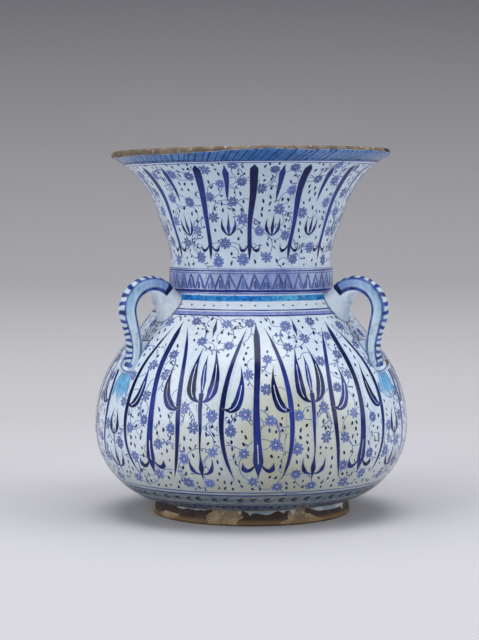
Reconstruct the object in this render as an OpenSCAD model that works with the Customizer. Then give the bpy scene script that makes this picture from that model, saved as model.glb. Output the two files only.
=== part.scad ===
// Mosque lamp in glazed fritware: foot, belly, collar and flaring neck luted together from
// turned sections, three strap handles, and a lift-out glass oil cup with its wick.
// Millimetres, +Z up, origin in the middle of the foot's standing face.

/* [Body] */
// Height from the table to the top of the lip
height = 216; // [206:1:232]
// Widest diameter of the belly
belly_d = 187; // [176:1:198]
// Height of the belly's widest girth
belly_z = 53; // [48:1:57]
// Radius of the curve from the girth up to the shoulder
over_r = 72; // [66:1:76]
// How far the lower curve would dip below the base before it is turned flat
base_tuck = 2; // [1:0.5:4]
// Wall of the bowl and the shoulder
body_wall = 6; // [5:0.5:8]

/* [Foot] */
// Outside diameter of the foot ring where it stands
foot_d = 119; // [104:1:124]
// Height of the foot ring
foot_h = 9; // [6:0.5:12]
// Width of the foot ring's standing face
foot_w = 10; // [6:0.5:14]
// How much the foot ring's outside draws in towards its top
foot_draw = 1; // [0:0.25:2]

/* [Collar and neck] */
// Height of the shoulder's top edge, where the collar sits
collar_z = 132; // [129:1:138]
// Height of the collar band
collar_h = 15; // [12:0.5:18]
// How far the collar stands proud of the neck
collar_proud = 1.25; // [0.5:0.25:2.5]
// How far the shoulder's edge stands proud of the collar
shoulder_ledge = 0.5; // [0.25:0.25:1.5]
// Outside diameter of the neck at its waist
neck_d = 95.5; // [88:0.5:102]
// Wall of the neck and the thickness of the lip
neck_wall = 4; // [3.5:0.25:5]
// Outside diameter of the lip
rim_d = 166; // [158:1:174]
// Straight part of the neck above the collar
waist_rise = 3; // [1:0.5:5]
// Radius of the curve out of the waist
waist_r = 40; // [34:1:46]
// Radius of the curve under the lip
flare_r = 53; // [48:1:56]
// Lean of the wall at the lip from upright, in degrees
lip_lean = 62; // [56:1:66]
// Rounding of the collar's and foot's outer edges
edge_r = 1; // [0.5:0.25:1.5]

/* [Luted joints] */
// Depth of the stepped lap between two sections
lap = 4; // [3:0.5:6]
// Film of slip between two pieces that are luted together
slip_gap = 0.1; // [0.05:0.05:0.2]

/* [Handles] */
// Width of a strap at its arch
strap_w = 10.5; // [9:0.5:13]
// Thickness of a strap's flat side at its arch
strap_t = 6.5; // [5.5:0.25:7.5]
// Rise of the strap's rounded outer face above its sides
strap_crown = 2.6; // [1.5:0.1:3.5]
// Thickness of the strap where it curls on the belly
curl_t = 4.4; // [3.5:0.1:4.6]
// Rise of the strap's outer face where it curls
curl_crown = 0.4; // [0.2:0.1:0.4]
// Width of the strap where it curls on the belly
curl_w = 13; // [10:0.5:16]
// Thickness of the strap at the curl's pinched tip
tip_t = 3; // [2.5:0.1:4]
// Width of the strap at that tip
tip_w = 3; // [2.5:0.25:6]
// Radius of the arch, along the middle of the strap
arch_r = 14; // [13:0.25:16]
// Lean of the straight leg under the arch, in degrees
leg_lean = 12; // [6:1:16]
// Radius of the curl, along the middle of the strap
curl_r = 2.8; // [2.8:0.1:3.4]
// Turn of the curl, in degrees
curl_turn = 200; // [150:10:220]
// Height at which the strap's middle lands on the belly
landing_z = 90; // [86:1:93]
// Height at which the line of the strap's root leaves the shoulder
root_z = 127; // [124:0.5:128]
// Rise of the strap where it leaves its root, in degrees
root_rise = 45; // [40:1:50]
// Length of the root along that line
root_len = 8; // [7:0.5:10]
// Length of the root's base, down the shoulder
root_base_l = 21; // [18:0.5:22]
// Width of the root's base, around the shoulder
root_base_w = 17; // [15:0.5:20]
// How far the root thickens the strap underneath
gusset = 6; // [4:0.25:6.5]
// Length over which that thickening fades out
gusset_l = 22; // [16:1:26]
// Rise of the wad of clay behind the strap's leg, from where the leg meets the shoulder
wad_z = 6.6; // [3:0.2:8.4]

/* [Oil cup] */
// Height of the glass cup
cup_h = 92; // [70:1:100]
// Outside diameter of the cup's mouth
cup_mouth_d = 62; // [54:1:68]
// Outside diameter of the cup's base
cup_base_d = 44; // [36:1:50]
// Wall of the cup
cup_wall = 2; // [1.5:0.25:3]
// Thickness of the cup's base
cup_floor = 5; // [4:0.5:8]

/* [Wick and holder] */
// Diameter of the wick
wick_d = 4; // [3:0.25:5]
// Radial clearance between the wick and its tube
wick_gap = 0.05; // [0.02:0.01:0.08]
// Wall of the wick tube
tube_wall = 1.25; // [1:0.25:2]
// Length of the wick tube
tube_l = 30; // [22:1:36]
// How far the tube stands above the strip
tube_above = 5; // [3:0.5:8]
// How far the wick shows at each end of its tube
wick_show = 5; // [3:0.5:8]
// Width of the brass strip across the cup
strip_w = 8; // [6:0.5:10]
// Thickness of the brass strip
strip_t = 0.8; // [0.6:0.1:1.2]
// Length of the strip's ends, turned down outside the cup
hook_l = 8; // [5:0.5:12]
// Play between those ends and the cup's mouth
hook_gap = 0.4; // [0.3:0.1:0.8]

/* [Hidden] */
$fn = 96;

// Compass angles of the three handles
left_turn = 210;
right_turn = 330;
back_turn = 90;

// Angle between two points of a sampled curve, in degrees
step_a = 3;

// The body's two arcs share the girth; a straight shoulder runs tangent to the upper one
belly_r = belly_d / 2;
under_r = belly_z - foot_h + base_tuck;
under_x = belly_r - under_r;
over_x = belly_r - over_r;
base_a = -asin((belly_z - foot_h) / under_r);
floor_z = foot_h + body_wall;
neck_r = neck_d / 2;
throat_r = neck_r - neck_wall;
collar_r = neck_r + collar_proud;
shoulder_r = collar_r + shoulder_ledge;
collar_top = collar_z + collar_h;
edge_x = shoulder_r - over_x;
edge_z = collar_z - belly_z;
lean = atan2(edge_z, edge_x) - acos(over_r / norm([edge_x, edge_z]));
tangent_z = belly_z + over_r * sin(lean);

// Radii of the stepped laps, in the middle of each wall
girth_lap_r = belly_r - body_wall / 2;
throat_lap_r = neck_r - neck_wall / 2;

// The neck: an arc out of the waist, a tangent line, and an arc under the lip. The two arcs
// shrink together on a neck that is too short to hold the upper one
waist_z = collar_top + waist_rise;
lip_r = neck_wall / 2;
lip_c = [rim_d / 2 - lip_r, height - lip_r];
neck_rise = lip_c.y - lip_r * sin(lip_lean) - waist_z;
bend_fit = min(1, neck_rise / (flare_r * sin(lip_lean)));
waist_bend = bend_fit * waist_r;
flare_bend = bend_fit * flare_r;
waist_c = [neck_r + waist_bend, waist_z];
flare_c = lip_c + (flare_bend + lip_r) * [cos(lip_lean), -sin(lip_lean)];
neck_run = flare_c - waist_c;
neck_lean = atan2(neck_run.x, neck_run.y) - asin((flare_bend - waist_bend) / norm(neck_run));

// The cup stands on the inner floor; its holder rests on its mouth
cup_top = floor_z + cup_h;
tube_bore_r = wick_d / 2 + wick_gap;
tube_bottom = cup_top + strip_t + tube_above - tube_l;

function arc(c, r, a0, a1) =
  let (n = max(2, ceil(abs(a1 - a0) / step_a)))
  [for (i = [0:n]) c + r * [cos(a0 + (a1 - a0) * i / n), sin(a0 + (a1 - a0) * i / n)]];

// Outside radius of the bowl and shoulder at a height
function body_r(z) =
  z < belly_z ? under_x + sqrt(max(0, under_r ^ 2 - (z - belly_z) ^ 2))
  : z < tangent_z ? over_x + sqrt(over_r ^ 2 - (z - belly_z) ^ 2)
  : shoulder_r + (collar_z - z) * tan(lean);

// Inside radius of the straight shoulder at a height
function shoulder_in(z) = body_r(z) - body_wall / cos(lean);

// The neck's outside, or a surface set in from it, from the waist to the lip
function neck_curve(inset) =
  concat(arc(waist_c, waist_bend + inset, 180, 180 - neck_lean),
    arc(flare_c, flare_bend + inset, 180 - neck_lean, 180 - lip_lean));

function reversed(list) = [for (i = [len(list) - 1:-1:0]) list[i]];

// Middle line of a strap as [radius, height, heading in degrees], with the heading measured
// from straight outwards, positive upwards
root_dir = [cos(root_rise), sin(root_rise)];
root_foot = [body_r(root_z), root_z];
arch_start = root_foot + root_len * root_dir;
arch_c = arch_start + arch_r * [root_dir.y, -root_dir.x];
arch_turn = root_rise + 90 + leg_lean;
arch_end = arch_c + arch_r * [cos(leg_lean), -sin(leg_lean)];
leg_dir = [-sin(leg_lean), -cos(leg_lean)];
landing_a = asin((landing_z - belly_z) / over_r);
landing = [body_r(landing_z), landing_z];
landing_dir = [sin(landing_a), -cos(landing_a)];
leg_pull = 0.4 * norm(landing - arch_end);
curl_c = landing + curl_r * [cos(landing_a), sin(landing_a)];
arch_steps = 16;
leg_steps = 11;
curl_steps = 12;
// Share of the curl over which it narrows to its tip
curl_pinch = 0.75;

function leg_point(u) =
  (1 - u) ^ 3 * arch_end + 3 * u * (1 - u) ^ 2 * (arch_end + leg_pull * leg_dir)
  + 3 * u ^ 2 * (1 - u) * (landing - leg_pull * landing_dir) + u ^ 3 * landing;

function leg_heading(u) =
  let (d = leg_point(u + 0.001) - leg_point(u - 0.001)) atan2(d.y, d.x);

// Stations along the strap: [middle point, heading, share of the leg's taper, length from the
// root, share of the curl's taper]
arch_stations = [for (i = [0:arch_steps])
  let (turn = arch_turn * i / arch_steps, a = 90 + root_rise - turn)
  [arch_c + arch_r * [cos(a), sin(a)], root_rise - turn, 0, arch_r * turn * PI / 180, 0]];
leg_stations = [for (i = [1:leg_steps])
  let (u = i / leg_steps)
  [leg_point(u), leg_heading(u), u, gusset_l * 2, 0]];
curl_stations = [for (i = [1:curl_steps])
  let (turn = curl_turn * i / curl_steps, a = 180 + landing_a + turn)
  [curl_c + curl_r * [cos(a), sin(a)], landing_a - 90 + turn, 1, gusset_l * 2,
    ease(i / curl_steps / curl_pinch)]];
strap_stations = concat(arch_stations, leg_stations, curl_stations);

function mix(a, b, u) = a + (b - a) * u;

// Eases from 0 to 1, and stays there
function ease(u) = let (v = min(1, u)) v ^ 2 * (3 - 2 * v);

function strap_thick(station) = mix(mix(strap_t, curl_t, station[2]), tip_t, station[4]);
function strap_half_w(station) = mix(mix(strap_w, curl_w, station[2] ^ 3), tip_w, station[4]) / 2;

// Half the strap's thickness on the side that faces the body, with the gusset near its root
function inner_half(station) =
  strap_thick(station) / 2 + gusset * max(0, 1 - station[3] / gusset_l) ^ 2;

// One strap section as [out from the middle line, around the lamp], flat inside and crowned
// outside, listed from the middle of the crown
function strap_section(station) =
  let (t = strap_thick(station), half_w = strap_half_w(station), inner = inner_half(station),
    crown = mix(strap_crown, curl_crown, station[2]), chamfer = t / 6)
  concat([for (k = [0, -0.35, -0.7]) [t / 2 + crown * (1 - k ^ 2), k * half_w]],
    [[t / 2, -half_w], [chamfer - inner, -half_w]],
    [for (k = [-1:0.5:1]) [-inner, k * (half_w - chamfer)]],
    [[chamfer - inner, half_w], [t / 2, half_w]],
    [for (k = [0.7, 0.35]) [t / 2 + crown * (1 - k ^ 2), k * half_w]]);

// A point at a radius, a height and a distance round the lamp, kept outside the belly
function on_lamp(r, z, w) =
  [max(r, sqrt((body_r(min(z, collar_z)) + slip_gap) ^ 2 - w ^ 2)), w, z];

function strap_ring(station) =
  let (out = [-sin(station[1]), cos(station[1])])
  [for (p = strap_section(station))
    let (q = station[0] + p.x * out) on_lamp(q.x, q.y, p.y)];

// Triangles round a stack of equal rings, with both ends closed
function skin_faces(rings, sides) = concat(
  [for (i = [0:rings - 2]) for (j = [0:sides - 1])
    [i * sides + j, i * sides + (j + 1) % sides, (i + 1) * sides + (j + 1) % sides]],
  [for (i = [0:rings - 2]) for (j = [0:sides - 1])
    [i * sides + j, (i + 1) * sides + (j + 1) % sides, (i + 1) * sides + j]],
  [for (j = [1:sides - 2]) [0, j + 1, j]],
  [for (j = [1:sides - 2]) let (k = (rings - 1) * sides) [k, k + j, k + j + 1]]);

module skin(rings) {
  points = [for (ring = rings) each ring];
  polyhedron(points, skin_faces(len(rings), len(rings[0])), convexity = 4);
}

// The root: ovals that rise off the shoulder and shrink to the strap's first section
root_sides = 24;
root_steps = 6;
root_margin = 0.4;
root_top_l = strap_t + strap_crown + gusset + 2 * root_margin;
root_top_w = strap_w + 2 * root_margin;
root_up = [-root_dir.y, root_dir.x];
root_top_c = arch_start + (strap_crown - gusset) / 2 * root_up;
slope_up = [-sin(lean), cos(lean)];
root_base_z = collar_z - slip_gap - root_base_l / 2 * cos(lean);
root_base_c = [body_r(root_base_z), root_base_z];

function root_ring(u) =
  let (c = mix(root_base_c, root_top_c, u), up = mix(slope_up, root_up, u),
    half_l = mix(root_top_l, root_base_l, (1 - u) ^ 2) / 2,
    half_w = mix(root_top_w, root_base_w, (1 - u) ^ 2) / 2)
  [for (j = [0:root_sides - 1])
    let (a = 360 * j / root_sides, q = c + half_l * cos(a) * up)
    on_lamp(q.x, q.y, half_w * sin(a))];

// The root's underside, as shrinking copies of its base oval laid on the shoulder
function root_seat(share) =
  [for (p = root_ring(0))
    let (z = mix(root_base_z, p.z, share), w = p.y * share) on_lamp(0, z, w)];

// The wad: fills the wedge between the strap's leg and the shoulder, up from where they meet
wad_half_w = strap_w / 2 - 0.6;
wad_least = 0.4;
wedge_shares = [0.005:0.015:0.8];
function wad_edge(u) =
  let (a = leg_heading(u), out = [-sin(a), cos(a)])
  leg_point(u) - (mix(strap_t, curl_t, u) / 2 + slip_gap) * out;
wedge_edges = [for (u = wedge_shares)
  let (p = wad_edge(u))
  if (p.x - body_r(p.y) - slip_gap > wad_least) p];
wedge_z = min([for (p = wedge_edges) p.y]);
wad_edges = [for (p = wedge_edges) if (p.y < wedge_z + wad_z) p];

function wad_ring(p) =
  concat([for (k = [-1:0.5:1]) on_lamp(0, p.y, k * wad_half_w)],
    [[p.x, wad_half_w, p.y], [p.x, -wad_half_w, p.y]]);

module handle(turn) {
  color("lightsteelblue") rotate([0, 0, turn])
    skin([for (station = strap_stations) strap_ring(station)]);
}

module handle_root(turn) {
  seats = [for (share = [0.05, 0.35, 0.7]) root_seat(share)];
  sides = [for (i = [0:root_steps]) root_ring(i / root_steps)];
  color("ghostwhite") rotate([0, 0, turn]) skin(concat(seats, sides));
}

module handle_wad(turn) {
  color("ghostwhite") rotate([0, 0, turn])
    skin([for (p = wad_edges) wad_ring(p)]);
}

module foot_ring() {
  top_r = foot_d / 2 - foot_draw;
  inner_r = foot_d / 2 - foot_w;
  color("burlywood") rotate_extrude()
    polygon(concat([[inner_r, 0]],
      arc([foot_d / 2 - edge_r, edge_r], edge_r, -90, 0),
      [[top_r, foot_h], [inner_r, foot_h]]));
}

module bowl() {
  inner_r = under_r - body_wall;
  lap_a = -asin(lap / inner_r);
  floor_a = -asin((belly_z - floor_z) / inner_r);
  color("aliceblue") rotate_extrude()
    polygon(concat([[0, foot_h]],
      arc([under_x, belly_z], under_r, base_a, 0),
      [[girth_lap_r, belly_z], [girth_lap_r, belly_z - lap]],
      arc([under_x, belly_z], inner_r, lap_a, floor_a),
      [[0, floor_z]]));
}

module shoulder() {
  inner_r = belly_r - body_wall;
  seat_z = collar_z - lap;
  color("aliceblue") rotate_extrude()
    polygon(concat(
      [[inner_r, belly_z - lap], [girth_lap_r - slip_gap, belly_z - lap],
        [girth_lap_r - slip_gap, belly_z]],
      arc([over_x, belly_z], over_r, 0, lean),
      [[shoulder_r, collar_z], [throat_lap_r, collar_z], [throat_lap_r, seat_z],
        [shoulder_in(seat_z), seat_z]],
      arc([over_x, belly_z], over_r - body_wall, lean, 0)));
}

module collar() {
  color("slateblue") rotate_extrude()
    polygon(concat(
      [[throat_r, collar_z - lap], [throat_lap_r - slip_gap, collar_z - lap],
        [throat_lap_r - slip_gap, collar_z], [collar_r, collar_z]],
      arc([collar_r - edge_r, collar_top - edge_r], edge_r, 0, 90),
      [[throat_lap_r, collar_top], [throat_lap_r, collar_top - lap],
        [throat_r, collar_top - lap]]));
}

module neck() {
  color("aliceblue") rotate_extrude()
    polygon(concat(
      [[throat_r, collar_top - lap], [throat_lap_r - slip_gap, collar_top - lap],
        [throat_lap_r - slip_gap, collar_top], [neck_r, collar_top]],
      neck_curve(0),
      arc(lip_c, lip_r, -lip_lean, 180 - lip_lean),
      reversed(neck_curve(neck_wall))));
}

module oil_cup() {
  slope = (cup_mouth_d - cup_base_d) / 2 / cup_h;
  color("lightcyan", 0.5) translate([0, 0, floor_z]) rotate_extrude()
    polygon([[0, 0], [cup_base_d / 2, 0], [cup_mouth_d / 2, cup_h],
      [cup_mouth_d / 2 - cup_wall, cup_h],
      [cup_base_d / 2 - cup_wall + slope * cup_floor, cup_floor], [0, cup_floor]]);
}

module wick_holder() {
  half_l = cup_mouth_d / 2 + hook_gap + strip_t;
  color("goldenrod") difference() {
    union() {
      translate([-half_l, -strip_w / 2, cup_top])
        cube([2 * half_l, strip_w, strip_t]);
      for (x = [-half_l, half_l - strip_t])
        translate([x, -strip_w / 2, cup_top + strip_t - hook_l])
          cube([strip_t, strip_w, hook_l]);
      translate([0, 0, tube_bottom])
        cylinder(h = tube_l, r = tube_bore_r + tube_wall);
    }
    translate([0, 0, tube_bottom - 1])
      cylinder(h = tube_l + 2, r = tube_bore_r);
  }
}

module wick() {
  color("ivory") translate([0, 0, tube_bottom - wick_show])
    cylinder(h = tube_l + 2 * wick_show, d = wick_d);
}

foot_ring();
bowl();
shoulder();
collar();
neck();
handle(left_turn);  // handle_left
handle(right_turn);  // handle_right
handle(back_turn);  // handle_back
handle_root(left_turn);  // handle_root_left
handle_root(right_turn);  // handle_root_right
handle_root(back_turn);  // handle_root_back
handle_wad(left_turn);  // handle_wad_left
handle_wad(right_turn);  // handle_wad_right
handle_wad(back_turn);  // handle_wad_back
oil_cup();
wick_holder();
wick();
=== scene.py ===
"""Dresses the glazed mosque lamp: turned shells, painted ornament, handles, oil cup, wick and studio."""

import logging
import math
import random
from abc import ABC, abstractmethod
from dataclasses import dataclass, field
from enum import Enum
from typing import Callable, Iterator, Sequence

import bpy
import numpy as np
import numpy.typing as npt
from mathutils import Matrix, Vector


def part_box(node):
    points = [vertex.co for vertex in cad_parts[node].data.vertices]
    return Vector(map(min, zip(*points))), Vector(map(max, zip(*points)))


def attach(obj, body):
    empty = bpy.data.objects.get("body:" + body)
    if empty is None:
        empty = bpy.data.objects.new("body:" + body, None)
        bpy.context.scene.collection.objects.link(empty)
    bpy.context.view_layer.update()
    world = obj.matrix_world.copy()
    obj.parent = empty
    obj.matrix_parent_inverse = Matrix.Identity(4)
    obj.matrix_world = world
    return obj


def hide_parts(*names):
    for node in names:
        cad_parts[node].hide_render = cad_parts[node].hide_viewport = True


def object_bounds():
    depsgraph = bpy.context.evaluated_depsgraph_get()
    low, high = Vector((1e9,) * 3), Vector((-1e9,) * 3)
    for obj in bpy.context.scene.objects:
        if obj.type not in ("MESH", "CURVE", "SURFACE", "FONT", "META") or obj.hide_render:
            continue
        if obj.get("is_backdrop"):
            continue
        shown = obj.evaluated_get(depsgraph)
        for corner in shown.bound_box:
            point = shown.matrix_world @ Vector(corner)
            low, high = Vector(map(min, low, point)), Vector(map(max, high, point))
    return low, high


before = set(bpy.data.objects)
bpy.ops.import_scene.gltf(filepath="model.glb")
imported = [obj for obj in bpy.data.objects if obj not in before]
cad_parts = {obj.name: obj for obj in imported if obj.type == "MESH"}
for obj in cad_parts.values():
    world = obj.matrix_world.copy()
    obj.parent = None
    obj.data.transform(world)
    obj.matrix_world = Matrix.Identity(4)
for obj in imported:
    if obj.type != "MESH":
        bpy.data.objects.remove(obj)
CAD_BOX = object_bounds()

LOG = logging.getLogger("mosque_lamp")
MM = 0.001
TURN = 2.0 * math.pi
SIDES = (1.0, -1.0)
TINY = 1e-9
ON_AXIS = 1e-6

Floats = npt.NDArray[np.float64]
Ints = npt.NDArray[np.int64]
Colour = tuple[float, float, float]
Socket = bpy.types.NodeSocket
Material = bpy.types.Material
Piece = bpy.types.Object
Pair = tuple[float, float]
Knots = tuple[Pair, ...]
Inks = dict[str, Floats]


class Body(str, Enum):
    """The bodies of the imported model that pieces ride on."""

    LAMP = "lamp"
    CUP = "cup"
    HOLDER = "holder"
    WICK = "wick_rod"


class Slot(str, Enum):
    """The record's material slots."""

    WHITE = "white_glaze"
    COLLAR = "collar_glaze"
    HANDLE = "handle_glaze"
    BARE = "bare_body"
    GLASS = "cup_glass"
    BRASS = "holder_brass"
    COTTON = "wick_cotton"


class Hue(Enum):
    """Pigments under the glaze, as linear colours."""

    INK = (0.006, 0.009, 0.034)
    DARK = (0.004, 0.008, 0.060)
    COBALT = (0.017, 0.033, 0.215)
    LINE = (0.085, 0.135, 0.370)
    WASH = (0.032, 0.130, 0.355)
    FLOOD = (0.125, 0.235, 0.500)
    PALE = (0.240, 0.350, 0.620)
    MIST = (0.320, 0.490, 0.640)
    SMOKE = (0.078, 0.104, 0.122)
    SLATE = (0.115, 0.162, 0.210)
    SAGE = (0.200, 0.235, 0.225)
    VIOLET = (0.215, 0.270, 0.560)
    LILAC = (0.305, 0.375, 0.650)
    TEAL = (0.012, 0.052, 0.170)
    STRAP = (0.160, 0.280, 0.590)
    CELADON = (0.565, 0.735, 0.875)
    BAR = (0.050, 0.080, 0.310)
    TURQUOISE = (0.006, 0.212, 0.735)
    AQUA = (0.080, 0.360, 0.660)
    SKY = (0.200, 0.430, 0.700)
    RESERVE = (0.600, 0.670, 0.760)
    CLAY = (0.140, 0.085, 0.050)
    HAIRLINE = (0.260, 0.260, 0.280)


@dataclass(frozen=True)
class Settling:
    """How the soft body moved in drying and firing: a tilted rim and walls slightly out of round."""

    tilt_from: float = 150.0
    tilt_to: float = 216.0
    rim_tilt: float = 0.9
    oval: float = 0.0022
    oval_turn: float = 0.7
    trefoil: float = 0.0012
    trefoil_twist: float = 40.0

    def apply(self, points: Floats) -> Floats:
        """Moves points of the true shape to where the fired body has them.

        Args:
            points: Places in millimetres, one row each.

        Returns:
            The settled places.
        """
        turn = np.arctan2(points[:, 1], points[:, 0])
        height = points[:, 2]
        rise = np.clip((height - self.tilt_from) / (self.tilt_to - self.tilt_from), 0.0, 1.0)
        swell = 1.0 + self.oval * np.sin(2.0 * turn + self.oval_turn)
        swell += self.trefoil * np.sin(3.0 * turn + height / self.trefoil_twist)
        moved = points.copy()
        moved[:, :2] *= swell[:, None]
        moved[:, 2] += self.rim_tilt * rise * np.cos(turn)
        return moved


SETTLING = Settling()


def mix(first: float, second: float, share: float) -> float:
    """Returns the value a share of the way from first to second."""
    return first + (second - first) * share


def bezier(start: Sequence[float], pull: Sequence[float], push: Sequence[float],
           end: Sequence[float], count: int = 24) -> Floats:
    """Samples a cubic curve.

    Args:
        start: First point.
        pull: Handle of the first point.
        push: Handle of the last point.
        end: Last point.
        count: Number of samples.

    Returns:
        The samples, one row each.
    """
    t = np.linspace(0.0, 1.0, count)[:, None]
    p, q, r, s = (np.asarray(v, float) for v in (start, pull, push, end))
    return (1 - t) ** 3 * p + 3 * t * (1 - t) ** 2 * q + 3 * t ** 2 * (1 - t) * r + t ** 3 * s


def circle(turns: Floats) -> Floats:
    """Returns the unit directions at angles, one row each."""
    return np.column_stack([np.cos(turns), np.sin(turns)])


def lengths(line: Floats) -> Floats:
    """Returns the length along a line at each of its points."""
    return np.concatenate([[0.0], np.cumsum(np.linalg.norm(np.diff(line, axis=0), axis=1))])


def headings(line: Floats) -> Floats:
    """Returns the unit direction of a line at each of its points."""
    along = np.gradient(line, axis=0)
    return along / np.maximum(np.linalg.norm(along, axis=1), TINY)[:, None]


def mesh_places(mesh: bpy.types.Mesh) -> Floats:
    """Reads the places of a mesh's points.

    Args:
        mesh: The mesh.

    Returns:
        The places in metres, one row each.
    """
    places = np.empty(3 * len(mesh.vertices))
    mesh.vertices.foreach_get("co", places)
    return places.reshape(-1, 3)


def section_loop(node: str) -> Floats:
    """Reads a turned node's cross-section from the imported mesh.

    Args:
        node: Name of the node.

    Returns:
        Rows of radius and height in millimetres, anticlockwise. A section that reaches the axis
        starts and ends on it.
    """
    near = 2e-3
    level = 10.0 * near
    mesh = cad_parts[node].data
    places = mesh_places(mesh) / MM
    on_seam = (np.abs(places[:, 1]) < near) & (places[:, 0] > -near)
    keys = [tuple(row) for row in np.round(places[:, (0, 2)], 2)]
    joins: dict[Pair, set[Pair]] = {}
    for edge in mesh.edges:
        first, second = edge.vertices
        if on_seam[first] and on_seam[second] and keys[first] != keys[second]:
            joins.setdefault(keys[first], set()).add(keys[second])
            joins.setdefault(keys[second], set()).add(keys[first])
    ends = [key for key, others in joins.items() if len(others) == 1]
    while ends:
        end = ends.pop()
        partners = [other for other in ends if abs(other[1] - end[1]) < level]
        other = min(partners, key=lambda p: abs(p[0] - end[0])) if partners else (0.0, end[1])
        if partners:
            ends.remove(other)
        joins[end].add(other)
        joins.setdefault(other, set()).add(end)
    poles = [key for key, others in joins.items() if key[0] < near and len(others) == 1]
    walk = [min(poles, key=lambda p: p[1]) if poles else max(joins)]
    while True:
        onward = [key for key in joins[walk[-1]] if key not in walk[-2:] and key != walk[0]]
        if not onward:
            break
        walk.append(min(onward, key=lambda key: key in walk))
        if walk[-1] in walk[:-1]:
            walk.pop()
            break
    loop = np.array(walk, float)
    ahead = np.roll(loop, -1, axis=0)
    area = np.sum(loop[:, 0] * ahead[:, 1] - ahead[:, 0] * loop[:, 1])
    return loop if area > 0.0 else loop[::-1].copy()


def softened(loop: Floats, radius: float, sharpest: float = 25.0) -> Floats:
    """Rounds the corners of a section.

    Args:
        loop: The section's points; those on the axis stay.
        radius: How far a rounding reaches along each side.
        sharpest: Turn in degrees above which a point counts as a corner.

    Returns:
        The section with each corner replaced by a short curve.
    """
    most_of_side = 0.45
    fullness = 0.55
    samples = 7
    rounded: list[Floats] = []
    for here, before, after in zip(loop, np.roll(loop, 1, axis=0), np.roll(loop, -1, axis=0)):
        back, on = before - here, after - here
        back_l, on_l = np.linalg.norm(back), np.linalg.norm(on)
        turn = 180.0 - math.degrees(math.acos(np.clip(back @ on / (back_l * on_l), -1.0, 1.0)))
        if here[0] < ON_AXIS or turn < sharpest:
            rounded.append(here[None, :])
            continue
        start = here + back * min(radius / back_l, most_of_side)
        end = here + on * min(radius / on_l, most_of_side)
        pull, push = mix(start, here, fullness), mix(end, here, fullness)
        rounded.append(bezier(start, pull, push, end, samples))
    return np.vstack(rounded)


def dense_section(loop: Floats, step: float = 1.5, corner: float = 12.0) -> Floats:
    """Samples a section finely, smooth along its curves and sharp at its corners.

    Args:
        loop: The section's points.
        step: Widest gap between samples.
        corner: Turn in degrees above which a point stays sharp.

    Returns:
        The samples, without a repeated last point.
    """
    on_axis = loop[0, 0] < ON_AXIS
    ahead = np.roll(loop, -1, axis=0) - loop
    length = np.linalg.norm(ahead, axis=1)
    way = ahead / np.maximum(length, TINY)[:, None]
    before = np.roll(way, 1, axis=0)
    blend = way + before
    blend /= np.maximum(np.linalg.norm(blend, axis=1), TINY)[:, None]
    bend = np.degrees(np.arccos(np.clip(np.sum(way * before, axis=1), -1.0, 1.0)))
    samples: list[Floats] = []
    count = len(loop)
    for i in range(count - 1 if on_axis else count):
        j = (i + 1) % count
        leave = way[i] if bend[i] > corner else blend[i]
        arrive = way[i] if bend[j] > corner else blend[j]
        third = length[i] / 3.0
        pieces = max(1, math.ceil(length[i] / step))
        pull, push = loop[i] + third * leave, loop[j] - third * arrive
        samples.append(bezier(loop[i], pull, push, loop[j], pieces + 1)[:-1])
    if on_axis:
        samples.append(loop[-1:])
    return np.vstack(samples)


def mesh_object(name: str, points: Floats, faces: Sequence[Sequence[int]],
                inks: Inks | None = None, sharp: float = 40.0) -> Piece:
    """Makes a smooth-shaded object from points and faces.

    Args:
        name: The object's name.
        points: Places in millimetres.
        faces: Corner numbers of each face.
        inks: Values per point, as scalars or colours, that the materials read by name.
        sharp: Angle in degrees above which an edge is shaded sharp.

    Returns:
        The new object, linked to the scene.
    """
    mesh = bpy.data.meshes.new(name)
    mesh.from_pydata((points * MM).tolist(), [], [list(map(int, face)) for face in faces])
    for key, values in (inks or {}).items():
        if values.ndim == 1:
            layer = mesh.attributes.new(key, "FLOAT", "POINT")
            layer.data.foreach_set("value", values)
        else:
            layer = mesh.attributes.new(key, "FLOAT_COLOR", "POINT")
            opaque = np.ones(len(values))
            layer.data.foreach_set("color", np.column_stack([values, opaque]).ravel())
    mesh.validate()
    mesh.shade_smooth()
    mesh.set_sharp_from_angle(angle=math.radians(sharp))
    piece = bpy.data.objects.new(name, mesh)
    bpy.context.scene.collection.objects.link(piece)
    return piece


def chart_uv(piece: Piece, u: Floats, v: Floats) -> None:
    """Gives a piece a flat chart of its surface."""
    layer = piece.data.uv_layers.new(name="chart")
    layer.data.foreach_set("uv", np.column_stack([u, v]).ravel())


def sheet_faces(rows: int, columns: int) -> Ints:
    """Faces of a sheet of points that lie in equal rows.

    Args:
        rows: Number of rows.
        columns: Points in each row.

    Returns:
        Corner numbers, four to a face.
    """
    i, j = np.divmod(np.arange((rows - 1) * (columns - 1)), columns - 1)
    k = i * columns + j
    return np.column_stack([k, k + columns, k + columns + 1, k + 1])


def ring_faces(rings: int, sides: int, closed: bool = False) -> Ints:
    """Faces round a stack of equal rings.

    Args:
        rings: Number of rings.
        sides: Points in each ring.
        closed: Whether the last ring joins the first.

    Returns:
        Corner numbers, four to a face.
    """
    i, j = np.divmod(np.arange((rings if closed else rings - 1) * sides), sides)
    here, ahead, beside = i * sides, (i + 1) % rings * sides, (j + 1) % sides
    return np.column_stack([here + j, here + beside, ahead + beside, ahead + j])


def tube_faces(rings: int, sides: int) -> list[list[int]]:
    """Faces round a stack of equal rings, with a face over each end."""
    ends = [list(range(sides - 1, -1, -1)), list(range((rings - 1) * sides, rings * sides))]
    return ring_faces(rings, sides).tolist() + ends


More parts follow.
